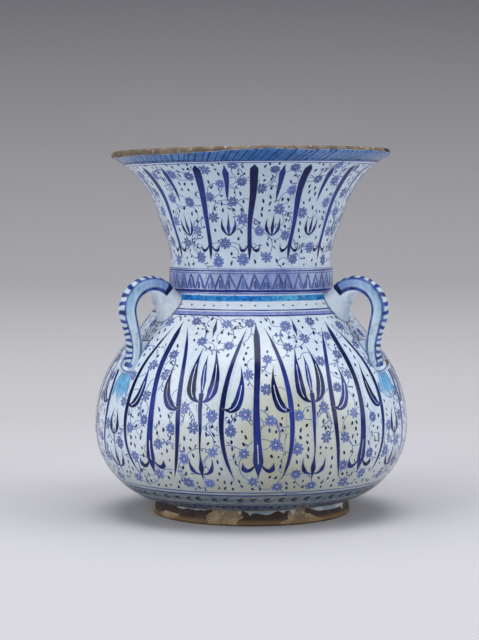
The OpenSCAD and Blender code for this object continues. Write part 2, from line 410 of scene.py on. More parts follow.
def spun(section: Floats, sides: int) -> Floats:
    """Turns a section round the lamp's axis.

    Args:
        section: Rows of radius and height.
        sides: Points round the axis.

    Returns:
        A ring of points for each row.
    """
    turns = np.arange(sides) * TURN / sides
    x, y = (np.outer(section[:, 0], part).ravel() for part in (np.cos(turns), np.sin(turns)))
    return np.column_stack([x, y, np.repeat(section[:, 1], sides)])


def face_outwards(piece: Piece) -> Piece:
    """Turns a closed piece's faces outwards if its volume comes out negative.

    Args:
        piece: The object.

    Returns:
        The same object.
    """
    mesh = piece.data
    mesh.calc_loop_triangles()
    corners = np.empty(3 * len(mesh.loop_triangles), np.int32)
    mesh.loop_triangles.foreach_get("vertices", corners)
    a, b, c = mesh_places(mesh)[corners.reshape(-1, 3)].transpose(1, 0, 2)
    if np.sum(a * np.cross(b, c)) < 0.0:
        mesh.flip_normals()
    return piece


def carry(piece: Piece, body: Body, slot: Slot, material: Material, *nodes: str) -> None:
    """Dresses a piece, lets it ride on its body and hides the nodes it stands for.

    Args:
        piece: The object.
        body: The body that it rides on.
        slot: The record's slot that its finish belongs to. Not used.
        material: Its finish.
        nodes: Nodes that it replaces.
    """
    piece.data.materials.clear()
    piece.data.materials.append(material)
    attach(piece, body.value)
    if nodes:
        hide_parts(*nodes)
    LOG.info("%s: %d faces on %s", piece.name, len(piece.data.polygons), body.value)


class NodeBoard:
    """A material's node tree, with the few kinds of node that the finishes share."""

    # Places of the colour sockets among the mix node's many inputs and outputs.
    mix_share = 0
    mix_first = 6
    mix_second = 7
    mix_result = 2

    def __init__(self, name: str) -> None:
        """Starts an empty tree with a principled shader.

        Args:
            name: The material's name.
        """
        self.material = bpy.data.materials.new(name)
        self.material.use_nodes = True
        self.tree = self.material.node_tree
        self.tree.nodes.clear()
        self.shader = self.add("ShaderNodeBsdfPrincipled")
        output = self.add("ShaderNodeOutputMaterial")
        self.tree.links.new(self.shader.outputs["BSDF"], output.inputs["Surface"])
        self.place = self.add("ShaderNodeTexCoord").outputs["Object"]

    def add(self, kind: str, **settings: object) -> bpy.types.Node:
        """Adds a node.

        Args:
            kind: Its type.
            settings: Properties to set on it.

        Returns:
            The node.
        """
        node = self.tree.nodes.new(kind)
        for key, value in settings.items():
            setattr(node, key, value)
        return node

    def feed(self, socket: Socket, value: object) -> None:
        """Links or sets an input.

        Args:
            socket: The input.
            value: A socket to link, or a number or colour to set.
        """
        if isinstance(value, bpy.types.NodeSocket):
            self.tree.links.new(value, socket)
        elif isinstance(value, tuple) and socket.type == "RGBA":
            socket.default_value = (*value, 1.0)
        else:
            socket.default_value = value

    def shade(self, name: str, value: object) -> None:
        """Links or sets the shader's input of a given name."""
        self.feed(self.shader.inputs[name], value)

    def stretched(self, scale: Colour) -> Socket:
        """Returns object coordinates scaled on each axis."""
        node = self.add("ShaderNodeMapping")
        self.feed(node.inputs["Vector"], self.place)
        node.inputs["Scale"].default_value = scale
        return node.outputs["Vector"]

    def noise(self, scale: float, detail: float = 3.0, vector: Socket | None = None) -> Socket:
        """Returns a noise value.

        Args:
            scale: Features per metre.
            detail: Octaves.
            vector: Coordinates, or the object's own.

        Returns:
            The noise's output.
        """
        node = self.add("ShaderNodeTexNoise")
        self.feed(node.inputs["Vector"], vector or self.place)
        node.inputs["Scale"].default_value = scale
        node.inputs["Detail"].default_value = detail
        return node.outputs["Fac"]

    def streaks(self, scale: Colour, detail: float) -> Socket:
        """Returns a noise value with its own number of features per metre on each axis."""
        return self.noise(1.0, detail, self.stretched(scale))

    def cells(self, scale: float, feature: str) -> Socket:
        """Returns the distance in a cell pattern of a given scale and feature."""
        node = self.add("ShaderNodeTexVoronoi", feature=feature)
        self.feed(node.inputs["Vector"], self.place)
        node.inputs["Scale"].default_value = scale
        return node.outputs["Distance"]

    def span(self, value: Socket, low: float, high: float, to_low: float = 0.0,
             to_high: float = 1.0, smooth: bool = True) -> Socket:
        """Maps a value from one range to another, clamped.

        Args:
            value: The value.
            low: Where the range starts.
            high: Where it ends.
            to_low: Result at the start.
            to_high: Result at the end.
            smooth: Whether it eases in and out.

        Returns:
            The mapped value.
        """
        easing = "SMOOTHSTEP" if smooth else "LINEAR"
        node = self.add("ShaderNodeMapRange", interpolation_type=easing)
        self.feed(node.inputs["Value"], value)
        ends = {"From Min": low, "From Max": high, "To Min": to_low, "To Max": to_high}
        for key, number in ends.items():
            node.inputs[key].default_value = number
        return node.outputs["Result"]

    def maths(self, operation: str, *values: object) -> Socket:
        """Returns the result of a maths node on its values."""
        node = self.add("ShaderNodeMath", operation=operation)
        for socket, value in zip(node.inputs, values):
            self.feed(socket, value)
        return node.outputs[0]

    def times(self, first: object, second: object) -> Socket:
        """Returns the product of two values."""
        return self.maths("MULTIPLY", first, second)

    def blend(self, share: object, first: object, second: object, way: str = "MIX") -> Socket:
        """Mixes two colours.

        Args:
            share: How much of the second.
            first: A colour or a socket.
            second: A colour or a socket.
            way: Kind of mixing.

        Returns:
            The mixed colour.
        """
        node = self.add("ShaderNodeMix", data_type="RGBA", blend_type=way)
        self.feed(node.inputs[self.mix_share], share)
        self.feed(node.inputs[self.mix_first], first)
        self.feed(node.inputs[self.mix_second], second)
        return node.outputs[self.mix_result]

    def painted(self, name: str, output: str) -> Socket:
        """Returns a value stored per point under a name."""
        return self.add("ShaderNodeAttribute", attribute_name=name).outputs[output]

    def height(self) -> Socket:
        """Returns the height above the floor, in metres."""
        node = self.add("ShaderNodeSeparateXYZ")
        self.feed(node.inputs[0], self.place)
        return node.outputs["Z"]

    def distance(self, centre: Colour) -> Socket:
        """Returns the distance from a place, in metres."""
        node = self.add("ShaderNodeVectorMath", operation="DISTANCE")
        self.feed(node.inputs[0], self.place)
        node.inputs[1].default_value = centre
        return node.outputs["Value"]

    def bump(self, *layers: tuple[Socket, float, float]) -> None:
        """Stacks bumps and hands them to the shader.

        Args:
            layers: Height, strength and depth in metres of each bump.
        """
        normal: Socket | None = None
        for height, strength, depth in layers:
            node = self.add("ShaderNodeBump")
            self.feed(node.inputs["Height"], height)
            node.inputs["Strength"].default_value = strength
            node.inputs["Distance"].default_value = depth
            if normal is not None:
                self.feed(node.inputs["Normal"], normal)
            normal = node.outputs["Normal"]
        self.shade("Normal", normal)


@dataclass(frozen=True)
class Clay:
    """The bare stonepaste body, stained by age. Scales are features per metre."""

    cream: Colour = (0.500, 0.385, 0.225)
    tan: Colour = (0.250, 0.170, 0.100)
    umber: Colour = (0.048, 0.030, 0.024)
    chalk: Colour = (0.600, 0.560, 0.490)
    gold: Colour = (0.330, 0.190, 0.075)
    grain: float = 420.0
    clouds: float = 120.0
    patches: Colour = (30.0, 30.0, 84.0)
    patch_edge: float = 0.025
    extra_stain: float = 0.16

    def colour(self, board: NodeBoard, umber_from: float,
               places: Sequence[tuple[Colour, float]] = ()) -> Socket:
        """Mixes the bare body's colour.

        Args:
            board: The tree to add to.
            umber_from: Noise value above which the dark stain shows.
            places: Centre and reach of places that took more of the stain.

        Returns:
            The colour.
        """
        base = board.blend(board.span(board.noise(self.clouds), 0.35, 0.65), self.cream, self.tan)
        base = board.blend(board.span(board.noise(self.grain, 5.0), 0.60, 0.72), base, self.chalk)
        stain = board.streaks(self.patches, 3.0)
        for centre, reach in places:
            near = board.span(board.distance(centre), 0.4 * reach, reach, self.extra_stain, 0.0)
            stain = board.maths("ADD", stain, near)
        share = board.span(stain, umber_from, umber_from + self.patch_edge)
        return board.blend(share, base, self.umber)


@dataclass(frozen=True)
class Stain:
    """A place where the glaze has taken a yellow tint."""

    centre: Colour
    reach: float
    depth: float


@dataclass(frozen=True)
class PaintedGlaze:
    """Clear glaze over a bluish-white ground and brushed pigment, worn through at the lip.

    Scales are features per metre.
    """

    name: str
    cool: Colour = (0.680, 0.785, 0.910)
    pale: Colour = (0.785, 0.850, 0.930)
    shade: Colour = (0.450, 0.560, 0.690)
    yellow: Colour = (0.470, 0.475, 0.325)
    # Yellow-grey low on the belly: painted shade, with the tint of a yellow stain.
    stain_and_low_shade: Colour = (0.350, 0.375, 0.320)
    neck_tint_and_shade: Colour = (0.515, 0.645, 0.765)
    # Darker, greener tone up the neck: painted shade under the rim's flare.
    craze: Colour = (0.300, 0.290, 0.260)
    thin_paint: Colour = (0.9, 0.9, 1.0)
    pooled_paint: Colour = (0.30, 0.30, 0.42)
    stains: tuple[Stain, ...] = (
        Stain((0.022, -0.088, 0.046), 0.054, 0.90), Stain((0.007, -0.080, 0.022), 0.084, 0.95),
        Stain((-0.045, -0.075, 0.030), 0.038, 0.55),
        Stain((0.070, 0.060, 0.042), 0.050, 0.60), Stain((-0.066, 0.064, 0.034), 0.045, 0.55))
    clay: Clay = Clay(cream=(0.240, 0.190, 0.140), tan=(0.135, 0.100, 0.076))
    umber_from: float = 0.63
    clouds: float = 16.0
    stain_clouds: float = 38.0
    mottle: float = 260.0
    specks: float = 95.0
    crackle: float = 105.0
    crackle_patches: float = 24.0
    strokes: Colour = (520.0, 520.0, 90.0)
    pools: float = 150.0
    ragged_edge: float = 700.0
    rubbing: float = 80.0
    flakes: float = 170.0
    gloss: float = 70.0
    pits: float = 420.0
    swells: float = 55.0
    grit: float = 500.0
    worn_roughness: float = 0.72
    reflection: float = 0.24

    def ground(self, board: NodeBoard, crackle: Socket) -> Socket:
        """Mixes the unpainted glaze's colour, with painted shade low on the belly and up the neck.

        Args:
            board: The tree to add to.
            crackle: Value that is 1 on a craze line.

        Returns:
            The colour.
        """
        cloud = board.span(board.noise(self.clouds, 4.0), 0.35, 0.68)
        colour = board.blend(cloud, self.cool, self.pale)
        for stain in self.stains:
            away = board.distance(stain.centre)
            near = board.span(away, 0.25 * stain.reach, stain.reach, 1.0, 0.0)
            uneven = board.noise(self.stain_clouds, 4.0)
            cloud = board.span(uneven, 0.30, 0.70, 0.3 * stain.depth, stain.depth)
            colour = board.blend(board.times(near, cloud), colour, self.yellow)
        # Painted shade towards the foot: darker and yellow-grey low on the belly, partly a yellow stain.
        colour = board.blend(board.span(board.height(), 0.018, 0.050, 0.62, 0.0), colour, self.stain_and_low_shade)
        # Painted shade up the neck: darker and greener under the rim's flare.
        colour = board.blend(board.span(board.height(), 0.138, 0.175, 0.0, 0.62), colour, self.neck_tint_and_shade)
        mottle = board.span(board.noise(self.mottle, 3.0), 0.45, 0.75, 0.0, 0.30)
        colour = board.blend(mottle, colour, self.shade)
        speck = board.span(board.cells(self.specks, "F1"), 0.030, 0.045, 0.55, 0.0)
        colour = board.blend(speck, colour, self.craze)
        return board.blend(board.times(crackle, 0.22), colour, self.craze)

    def brushed(self, board: NodeBoard, ground: Socket) -> Socket:
        """Lays the painted pigment over the ground, streaked by the brush and ragged at its edge.

        Args:
            board: The tree to add to.
            ground: The unpainted colour.

        Returns:
            The colour.
        """
        thin = board.span(board.streaks(self.strokes, 4.0), 0.35, 0.75, 0.0, 0.65)
        pooled = board.span(board.noise(self.pools, 3.0), 0.52, 0.70, 0.0, 0.45)
        pigment = board.painted("pigment", "Color")
        pigment = board.blend(thin, pigment, self.thin_paint, "SOFT_LIGHT")
        pigment = board.blend(pooled, pigment, self.pooled_paint, "MULTIPLY")
        ragged = board.maths("MULTIPLY_ADD", board.noise(self.ragged_edge, 2.0), 0.24, -0.12)
        ink = board.painted("ink", "Fac")
        cover = board.span(board.maths("ADD", ink, ragged), 0.14, 0.52)
        return board.blend(board.times(cover, board.span(ink, 0.0, 0.06)), ground, pigment)

    def material(self) -> Material:
        """Builds the finish.

        Returns:
            The material, which reads ink, pigment and wear from the mesh.
        """
        board = NodeBoard(self.name)
        edges = board.cells(self.crackle, "DISTANCE_TO_EDGE")
        patches = board.span(board.noise(self.crackle_patches), 0.45, 0.60)
        crackle = board.times(board.span(edges, 0.004, 0.018, 1.0, 0.0), patches)
        colour = self.brushed(board, self.ground(board, crackle))
        wear = board.painted("wear", "Fac")
        uneven = board.maths("MULTIPLY_ADD", board.noise(self.rubbing, 5.0), 0.9, -0.45)
        rubbed = board.maths("ADD", wear, uneven)
        some = board.span(wear, 0.0, 0.08)
        flakes = board.span(board.noise(self.flakes), 0.43, 0.53)
        flaked = board.times(board.span(rubbed, 0.26, 0.36), flakes)
        colour = board.blend(board.times(flaked, some), colour, self.clay.chalk)
        worn = board.times(board.span(rubbed, 0.42, 0.52), some)
        colour = board.blend(worn, colour, self.clay.colour(board, self.umber_from))
        board.shade("Base Color", colour)
        board.shade("Specular IOR Level", self.reflection)
        gloss = board.span(board.noise(self.gloss, 4.0), 0.35, 0.70, 0.10, 0.22)
        board.shade("Roughness", board.maths("MAXIMUM", gloss, board.times(worn, self.worn_roughness)))
        pits = board.span(board.cells(self.pits, "F1"), 0.10, 0.22)
        grit = board.times(worn, board.noise(self.grit, 4.0))
        board.bump((board.noise(self.swells, 2.0), 0.25, 0.0009), (pits, 0.10, 0.0002),
                   (crackle, 0.12, -0.0002), (grit, 0.6, 0.0006))
        return board.material


@dataclass(frozen=True)
class FootFinish:
    """Bare foot with glaze that ran down its upper edge, and a painted contact shadow along its bottom
    edge. Scales are features per metre.
    """

    name: str = "bare_body"
    clay: Clay = Clay()
    umber_from: float = 0.555
    glaze: Colour = (0.560, 0.620, 0.640)
    smear: Colour = (0.300, 0.380, 0.470)
    edge_low: float = 0.0062
    edge_high: float = 0.0094
    drip: float = 0.0032
    runs: Colour = (30.0, 30.0, 8.0)
    drips: Colour = (95.0, 95.0, 8.0)
    smears: float = 80.0
    rubbing: float = 160.0
    grit: float = 380.0
    stained: tuple[tuple[Colour, float], ...] = (
        ((-0.049, -0.030, 0.000), 0.031), ((-0.032, -0.047, 0.008), 0.016),
        ((0.001, -0.057, 0.003), 0.022), ((0.054, -0.019, 0.007), 0.014))

    def material(self) -> Material:
        """Builds the finish.

        Returns:
            The material.
        """
        board = NodeBoard(self.name)
        height = board.height()
        edge = board.span(board.streaks(self.runs, 5.0), 0.36, 0.64, self.edge_high, self.edge_low)
        drips = board.span(board.streaks(self.drips, 2.0), 0.58, 0.66, 0.0, self.drip)
        edge = board.maths("SUBTRACT", edge, drips)
        glazed = board.span(board.maths("SUBTRACT", height, edge), -0.0003, 0.0003)
        colour = self.clay.colour(board, self.umber_from, self.stained)
        colour = board.blend(board.span(height, 0.0016, 0.0042, 0.60, 0.0), colour, self.clay.gold)
        # Painted contact shadow: nearly black along the bottom edge where the foot stands on the floor.
        colour = board.blend(board.span(height, 0.0002, 0.0014, 0.80, 0.0), colour, self.clay.umber)
        skin = board.blend(board.span(board.noise(self.smears), 0.42, 0.62), self.glaze, self.smear)
        board.shade("Base Color", board.blend(glazed, colour, skin))
        rough = board.span(board.noise(self.rubbing), 0.30, 0.70, 0.55, 0.85)
        board.shade("Roughness", board.times(rough, board.span(glazed, 0.0, 1.0, 1.0, 0.25)))
        board.bump((board.noise(self.grit, 5.0), 0.45, 0.0006), (glazed, 0.5, 0.0004))
        return board.material


@dataclass(frozen=True)
class Glass:
    """Hand-blown glass with seeds and a faint green cast. Scales are features per metre."""

    name: str = "cup_glass"
    clear: Colour = (0.800, 0.900, 0.870)
    green: Colour = (0.620, 0.800, 0.740)
    index: float = 1.5
    clouds: float = 30.0
    smears: float = 90.0
    seeds: float = 210.0
    swells: float = 42.0

    def material(self) -> Material:
        """Builds the finish.

        Returns:
            The material.
        """
        board = NodeBoard(self.name)
        cloud = board.span(board.noise(self.clouds, 3.0), 0.35, 0.70)
        board.shade("Base Color", board.blend(cloud, self.clear, self.green))
        board.shade("Transmission Weight", 1.0)
        board.shade("IOR", self.index)
        board.shade("Roughness", board.span(board.noise(self.smears), 0.4, 0.7, 0.02, 0.09))
        seeds = board.span(board.cells(self.seeds, "F1"), 0.05, 0.14, 1.0, 0.0)
        board.bump((board.noise(self.swells, 2.0), 0.25, 0.0010), (seeds, 0.35, 0.0004))
        return board.material


@dataclass(frozen=True)
class Brass:
    """Hammered sheet brass, darkened where it isn't handled. Scales are features per metre."""

    name: str = "holder_brass"
    bright: Colour = (0.700, 0.470, 0.180)
    dull: Colour = (0.330, 0.200, 0.075)
    green: Colour = (0.120, 0.210, 0.150)
    tarnish: float = 130.0
    verdigris: float = 260.0
    rubbing: float = 190.0
    dents: float = 260.0
    grain: float = 900.0

    def material(self) -> Material:
        """Builds the finish.

        Returns:
            The material.
        """
        board = NodeBoard(self.name)
        tarnish = board.span(board.noise(self.tarnish, 5.0), 0.38, 0.66)
        verdigris = board.span(board.noise(self.verdigris, 4.0), 0.64, 0.74, 0.0, 0.7)
        colour = board.blend(tarnish, self.bright, self.dull)
        board.shade("Base Color", board.blend(verdigris, colour, self.green))
        board.shade("Metallic", 1.0)
        board.shade("Roughness", board.span(board.noise(self.rubbing), 0.3, 0.7, 0.24, 0.52))
        dents = board.cells(self.dents, "SMOOTH_F1")
        board.bump((dents, 0.30, 0.0004), (board.noise(self.grain), 0.12, 0.0001))
        return board.material


@dataclass(frozen=True)
class Cotton:
    """Twisted cotton, charred towards its burning end. Scales are features per metre."""

    name: str = "wick_cotton"
    raw: Colour = (0.660, 0.590, 0.450)
    oiled: Colour = (0.430, 0.330, 0.190)
    char: Colour = (0.012, 0.010, 0.009)
    fibres: Colour = (2600.0, 2600.0, 500.0)

    def material(self) -> Material:
        """Builds the finish.

        Returns:
            The material, which reads char from the mesh.
        """
        board = NodeBoard(self.name)
        fibre = board.streaks(self.fibres, 4.0)
        colour = board.blend(board.span(fibre, 0.35, 0.68), self.raw, self.oiled)
        uneven = board.span(fibre, 0.2, 0.8, -0.2, 0.2)
        burnt = board.maths("ADD", board.painted("char", "Fac"), uneven)
        board.shade("Base Color", board.blend(board.span(burnt, 0.35, 0.65), colour, self.char))
        board.shade("Roughness", board.span(fibre, 0.3, 0.7, 0.75, 0.95))
        board.bump((fibre, 0.8, 0.0003))
        return board.material


class Surface:
    """The lamp's outside, unrolled: turn round the axis, and length up the wall from the foot."""

    step = 0.2
    clear_of_base = 0.02
    smoothing = 7

    def __init__(self, loops: Sequence[Floats]) -> None:
        """Reads the outline from the shells' sections.

        Args:
            loops: Dense sections of the shells, from the bowl up.
        """
        low = min(loop[:, 1].min() for loop in loops)
        high = max(loop[:, 1].max() for loop in loops)
        self.z = np.arange(low + self.clear_of_base, high, self.step)
        self.r = np.zeros_like(self.z)
        for loop in loops:
            for (r0, z0), (r1, z1) in zip(loop, np.roll(loop, -1, axis=0)):
                if abs(z1 - z0) > TINY:
                    share = (self.z - z0) / (z1 - z0)
                    crosses = (share >= 0.0) & (share <= 1.0)
                    r = (r0 + share * (r1 - r0))[crosses]
                    self.r[crosses] = np.maximum(self.r[crosses], r)
        self.s = np.concatenate([[0.0], np.cumsum(np.hypot(np.diff(self.r), np.diff(self.z)))])
        spread = np.ones(self.smoothing) / self.smoothing
        along_r = np.convolve(np.gradient(self.r, self.s), spread, "same")
        along_z = np.convolve(np.gradient(self.z, self.s), spread, "same")
        size = np.hypot(along_r, along_z)
        self.out = along_z / size
        self.up = -along_r / size

    def radius(self, s: npt.ArrayLike) -> Floats:
        """Returns the outside radius at a length up the wall."""
        return np.interp(s, self.s, self.r)

    def length(self, z: float) -> float:
        """Returns the length up the wall at a height."""
        return float(np.interp(z, self.z, self.s))

    def radius_at(self, z: npt.ArrayLike) -> Floats:
        """Returns the outside radius at a height."""
        return np.interp(z, self.z, self.r)

    def place(self, turn: Floats, s: Floats, lift: Floats) -> Floats:
        """Finds points on or just above the wall.

        Args:
            turn: Angles round the axis, in radians.
            s: Lengths up the wall.
            lift: Heights above it.

        Returns:
            Places in millimetres.
        """
        r = self.radius(s) + lift * np.interp(s, self.s, self.out)
        z = np.interp(s, self.s, self.z) + lift * np.interp(s, self.s, self.up)
        return SETTLING.apply(np.column_stack([r * np.cos(turn), r * np.sin(turn), z]))


@dataclass
class Turned:
    """A shell turned on the wheel: its packed section, smoothed and spun."""

    node: str
    slot: Slot
    soft: float = 0.0
    segments: int = 256
    body: Body = Body.LAMP
    settles: bool = True
    section: Floats = field(init=False)

    def __post_init__(self) -> None:
        """Reads and smooths the section."""
        loop = section_loop(self.node)
        if self.soft > 0.0:
            loop = softened(loop, self.soft)
        self.section = dense_section(loop)

    def build(self, finish: Material, inks: Callable[[Floats], Inks] | None = None) -> None:
        """Spins the section, with a chart of its surface, and dresses the shell.

        Args:
            finish: The shell's finish.
            inks: Gives the values per point that the finish reads, from the points.
        """
        n = self.segments
        on_axis = self.section[0, 0] < ON_AXIS
        rings = self.section[1:-1] if on_axis else self.section
        count = len(rings)
        points = spun(rings, n)
        along = lengths(rings)
        along /= along[-1] + np.linalg.norm(rings[0] - rings[-1])
        quads = ring_faces(count, n, not on_axis)
        i, j = np.divmod(quads[:, 0], n)
        ahead = quads[:, 3] // n
        top = np.where(ahead == 0, 1.0, along[ahead])
        u = np.column_stack([j, j + 1, j + 1, j]).ravel() / n
        v = np.column_stack([along[i], along[i], top, top]).ravel()
        faces = quads.tolist()
        if on_axis:
            poles = [[0.0, 0.0, self.section[0, 1]], [0.0, 0.0, self.section[-1, 1]]]
            points = np.vstack([points, poles])
            low, last = count * n, (count - 1) * n
            k = np.arange(n)
            beside = (k + 1) % n
            faces += np.column_stack([np.full(n, low), beside, k]).tolist()
            faces += np.column_stack([last + k, last + beside, np.full(n, low + 1)]).tolist()
            fan = np.column_stack([k, k + 1, k]).ravel() / n
            u = np.concatenate([u, fan, fan])
            v = np.concatenate([v, np.tile([0.0, along[0], along[0]], n), np.ones(3 * n)])
        values = inks(points) if inks else None
        placed = SETTLING.apply(points) if self.settles else points
        piece = mesh_object(self.node + "_shell", placed, faces, values)
        chart_uv(piece, u, v)
        carry(piece, self.body, self.slot, finish, self.node)


@dataclass(frozen=True)
class Anchor:
    """Where a motif is painted: a turn, a length up the wall and the radius its widths are true at."""

    turn: float
    s: float
    radius: float


class Paint:
    """One coat of brushwork on the lamp: thin ribbons and spots that follow the wall."""

    film = 0.001
    layers = 20
    sink = 0.3
    narrow = 1.0
    broad = 2.5
    over_wash = (-1.0, -0.7, 0.0, 0.7, 1.0)
    full_spot = 0.72
    ring_steps = 360
    ring_edge = 0.14
    chart_margin = 0.6

    def __init__(self, surface: Surface, name: str, lift: float) -> None:
        """Starts an empty coat.

        Args:
            surface: The wall.
            name: Name of the coat's object.
            lift: Its height above the wall.
        """
        self.surface = surface
        self.name = name
        self.lift = lift
        self.rows: list[tuple[Floats, Floats, Floats, Floats, Floats]] = []
        self.faces: list[Ints] = []
        self.count = 0
        self.strokes = 0
        self.over: Callable[[Floats], Floats] | None = None

    def anchor(self, turn: float, s: float) -> Anchor:
        """Returns an anchor with true widths at its own height."""
        return Anchor(turn, s, float(self.surface.radius(s)))

    def lay(self, turn: Floats, s: Floats, ink: Floats, colour: Floats, faces: Ints) -> None:
        """Adds points and faces.

        Args:
            turn: Angles of the points.
            s: Lengths up the wall.
            ink: How much pigment each holds.
            colour: The pigment's colour at each.
            faces: Corner numbers, four to a face, the last two equal for a triangle.
        """
        lift = np.full(len(turn), self.lift + self.film * (self.strokes % self.layers))
        lift[ink <= 0.0] -= self.sink * self.lift
        self.rows.append((turn, s, lift, ink, colour))
        self.faces.append(faces + self.count)
        self.count += len(turn)
        self.strokes += 1

    def stroke(self, at: Anchor, path: Floats, widths: Floats | float, hue: Hue, tone: float = 1.0,
               second: Hue | None = None, load: float = 1.0) -> None:
        """Brushes a ribbon along a path, darker where the pigment pools at its edges.

        Args:
            at: The motif's anchor.
            path: Rows of distance to the right and up, in millimetres.
            widths: Half the width, or that at each row.
            hue: The pigment.
            tone: Brightness of the pigment.
            second: A pigment that the first one shifts to along the way.
            load: How much pigment the brush holds.
        """
        along = headings(path)
        widths = np.broadcast_to(widths, len(path))
        widest = float(np.max(widths))
        columns = 3 if widest < self.narrow else 5 if widest < self.broad else 7
        across = np.linspace(-1.0, 1.0, columns)
        steep = 1.0
        if self.over is not None:
            across = np.array(self.over_wash)
            steep = 4.0
        rows, columns = len(path), len(across)
        x = path[:, :1] - along[:, 1:] * widths[:, None] * across
        y = path[:, 1:] + along[:, :1] * widths[:, None] * across
        turn = at.turn + x / at.radius
        ink = load * np.minimum(1.0, (1.0 - np.abs(across)) * np.maximum(steep, 0.9 * widths[:, None]))
        first, last = (np.array(pigment.value) * tone for pigment in (hue, second or hue))
        share = 0.5 + 0.5 * np.sin(1.7 * self.strokes + np.linspace(0.0, 6.0, rows))
        colour = first + (last - first) * 0.7 * share[:, None]
        colour = colour[:, None, :] * (1.15 - 0.45 * across ** 2)[None, :, None]
        if self.over is not None:
            under = self.over(turn)
            colour = under + (colour - under) * ink[:, :, None]
            ink = np.ones_like(ink)
        faces = sheet_faces(rows, columns)[:, ::-1]
        self.lay(turn.ravel(), (at.s + y).ravel(), ink.ravel(), colour.reshape(-1, 3), faces)

    def leaf(self, at: Anchor, path: Floats, width: float, hue: Hue, tone: float = 1.0,
             full: float = 0.45) -> None:
        """Brushes a leaf: a ribbon that swells from a point and closes to a point.

        Args:
            at: The motif's anchor.
            path: The leaf's middle line.
            width: Half its greatest width.
            hue: The pigment.
            tone: Brightness of the pigment.
            full: Where along it the leaf is widest.
        """
        t = np.linspace(0.0, 1.0, len(path))
        bent = np.where(t < full, 0.5 * t / full, 0.5 + 0.5 * (t - full) / (1.0 - full))
        self.stroke(at, path, width * np.sin(math.pi * bent) ** 0.8 + 0.02, hue, tone)

    def spot(self, at: Anchor, x: float, y: float, size: Pair, lean: float, hue: Hue,
             tone: float = 1.0, sides: int = 7) -> None:
        """Dabs an oval spot.

        Args:
            at: The motif's anchor.
            x: Distance to the right.
            y: Distance up.
            size: Half its length and half its width.
            lean: Direction of its length, in radians.
            hue: The pigment.
            tone: Brightness of the pigment.
            sides: Points round it.
        """
        a = np.tile(np.arange(sides) * TURN / sides, 2)
        share = np.repeat([self.full_spot, 1.0], sides)
        long, wide = size[0] * share * np.cos(a), size[1] * share * np.sin(a)
        px = np.concatenate([[x], x + long * math.cos(lean) - wide * math.sin(lean)])
        py = np.concatenate([[y], y + long * math.sin(lean) + wide * math.cos(lean)])
        ink = np.concatenate([np.ones(sides + 1), np.zeros(sides)])
        k = np.arange(sides) + 1
        ahead = k % sides + 1
        inner = np.column_stack([np.zeros(sides, int), k, ahead, ahead])
        outer = np.column_stack([k, k + sides, ahead + sides, ahead])
        colour = np.tile(np.array(hue.value) * tone, (2 * sides + 1, 1))
        turn = at.turn + px / at.radius
        if self.over is not None:
            colour[sides + 1:] = self.over(turn)[sides + 1:]
            ink[:] = 1.0
        self.lay(turn, at.s + py, ink, colour, np.vstack([inner, outer]))

    def ring(self, low: float, high: float, hue: Hue, waver: float = 0.12, rows: int = 5,
             second: Hue | None = None) -> Callable[[Floats], Floats]:
        """Runs a brush round the lamp.

        Args:
            low: Length up the wall of the band's lower edge.
            high: That of its upper edge.
            hue: The pigment.
            waver: How far the brush strays.
            rows: Points across the band.
            second: A pigment that the first one shifts to in places.

        Returns:
            A function that gives the band's colour at each turn.
        """
        turn = np.arange(self.ring_steps + 1) * TURN / self.ring_steps
        seed = low * 1.7 + high
        below, above = (
            waver * (np.sin(3 * turn + seed + d) + 0.6 * np.sin(11 * turn + 2 * seed + 2 * d)
                     + 0.4 * np.sin(29 * turn + 3 * seed - d)) for d in (0.0, 1.3))
        share = np.linspace(0.0, 1.0, rows)
        share[1], share[-2] = self.ring_edge, 1.0 - self.ring_edge
        s = (low + below)[:, None] * (1.0 - share) + (high + above)[:, None] * share
        ink = np.tile(np.minimum(1.0, 8.0 * np.minimum(share, 1.0 - share)), len(turn))
        first, last = np.array(hue.value), np.array((second or hue).value)

        def tint(around: Floats) -> Floats:
            """Returns the band's colour at each turn."""
            shift = 0.5 + 0.5 * np.sin(5 * around + seed) * np.sin(2 * around + 1.0)
            return first + (last - first) * shift[..., None]

        colour = np.repeat(tint(turn), rows, axis=0)
        self.lay(np.repeat(turn, rows), s.ravel(), ink, colour, sheet_faces(len(turn), rows))
        return tint

    def build(self, slot: Slot, material: Material) -> None:
        """Makes the coat's object, with a chart of its surface, and dresses it.

        Args:
            slot: The record's slot for its finish.
            material: The finish.
        """
        turn, s, lift, ink, colour = (np.concatenate(values) for values in zip(*self.rows))
        points = self.surface.place(turn, s, lift)
        corners = [list(dict.fromkeys(face)) for face in np.vstack(self.faces).tolist()]
        wear = lip_wear(turn, np.interp(s, self.surface.s, self.surface.z))
        inks = {"ink": ink, "pigment": colour, "wear": wear}
        piece = mesh_object(self.name, points, corners, inks, 180.0)
        index = np.empty(len(piece.data.loops), np.int32)
        piece.data.loops.foreach_get("vertex_index", index)
        u = (turn + self.chart_margin) / (TURN + 2 * self.chart_margin)
        chart_uv(piece, u[index], (s / self.surface.s[-1])[index])
        carry(piece, Body.LAMP, slot, material)


@dataclass(frozen=True)
class Petal:
    """One dab of a rosette's petals; reach, length and width are shares of the rosette's radius."""

    hue: Hue
    tone: float
    reach: float
    length: float
    width: float


@dataclass(frozen=True)
class Blade:
    """One bold stroke: its middle line as drawn on the right, and the half-widths of its outline."""

    line: Knots
    samples: int
    outline: Knots
    hue: Hue = Hue.DARK
    vein: Pair | None = None

    def path(self, side: float) -> Floats:
        """Returns the middle line, straight or curved: 1 on the right, -1 on the left, 0 upright."""
        places = [(side * x, y) for x, y in self.line]
        return (bezier if len(places) == 4 else np.linspace)(*places, self.samples)


Strokes = tuple[tuple[float, Blade], ...]


def middle(*blades: Blade) -> Strokes:
    """Returns strokes on a motif's middle line."""
    return tuple((0.0, blade) for blade in blades)


def both(*blades: Blade) -> Strokes:
    """Returns strokes on a motif's right side, and then the same on its left."""
    return tuple((side, blade) for side in SIDES for blade in blades)


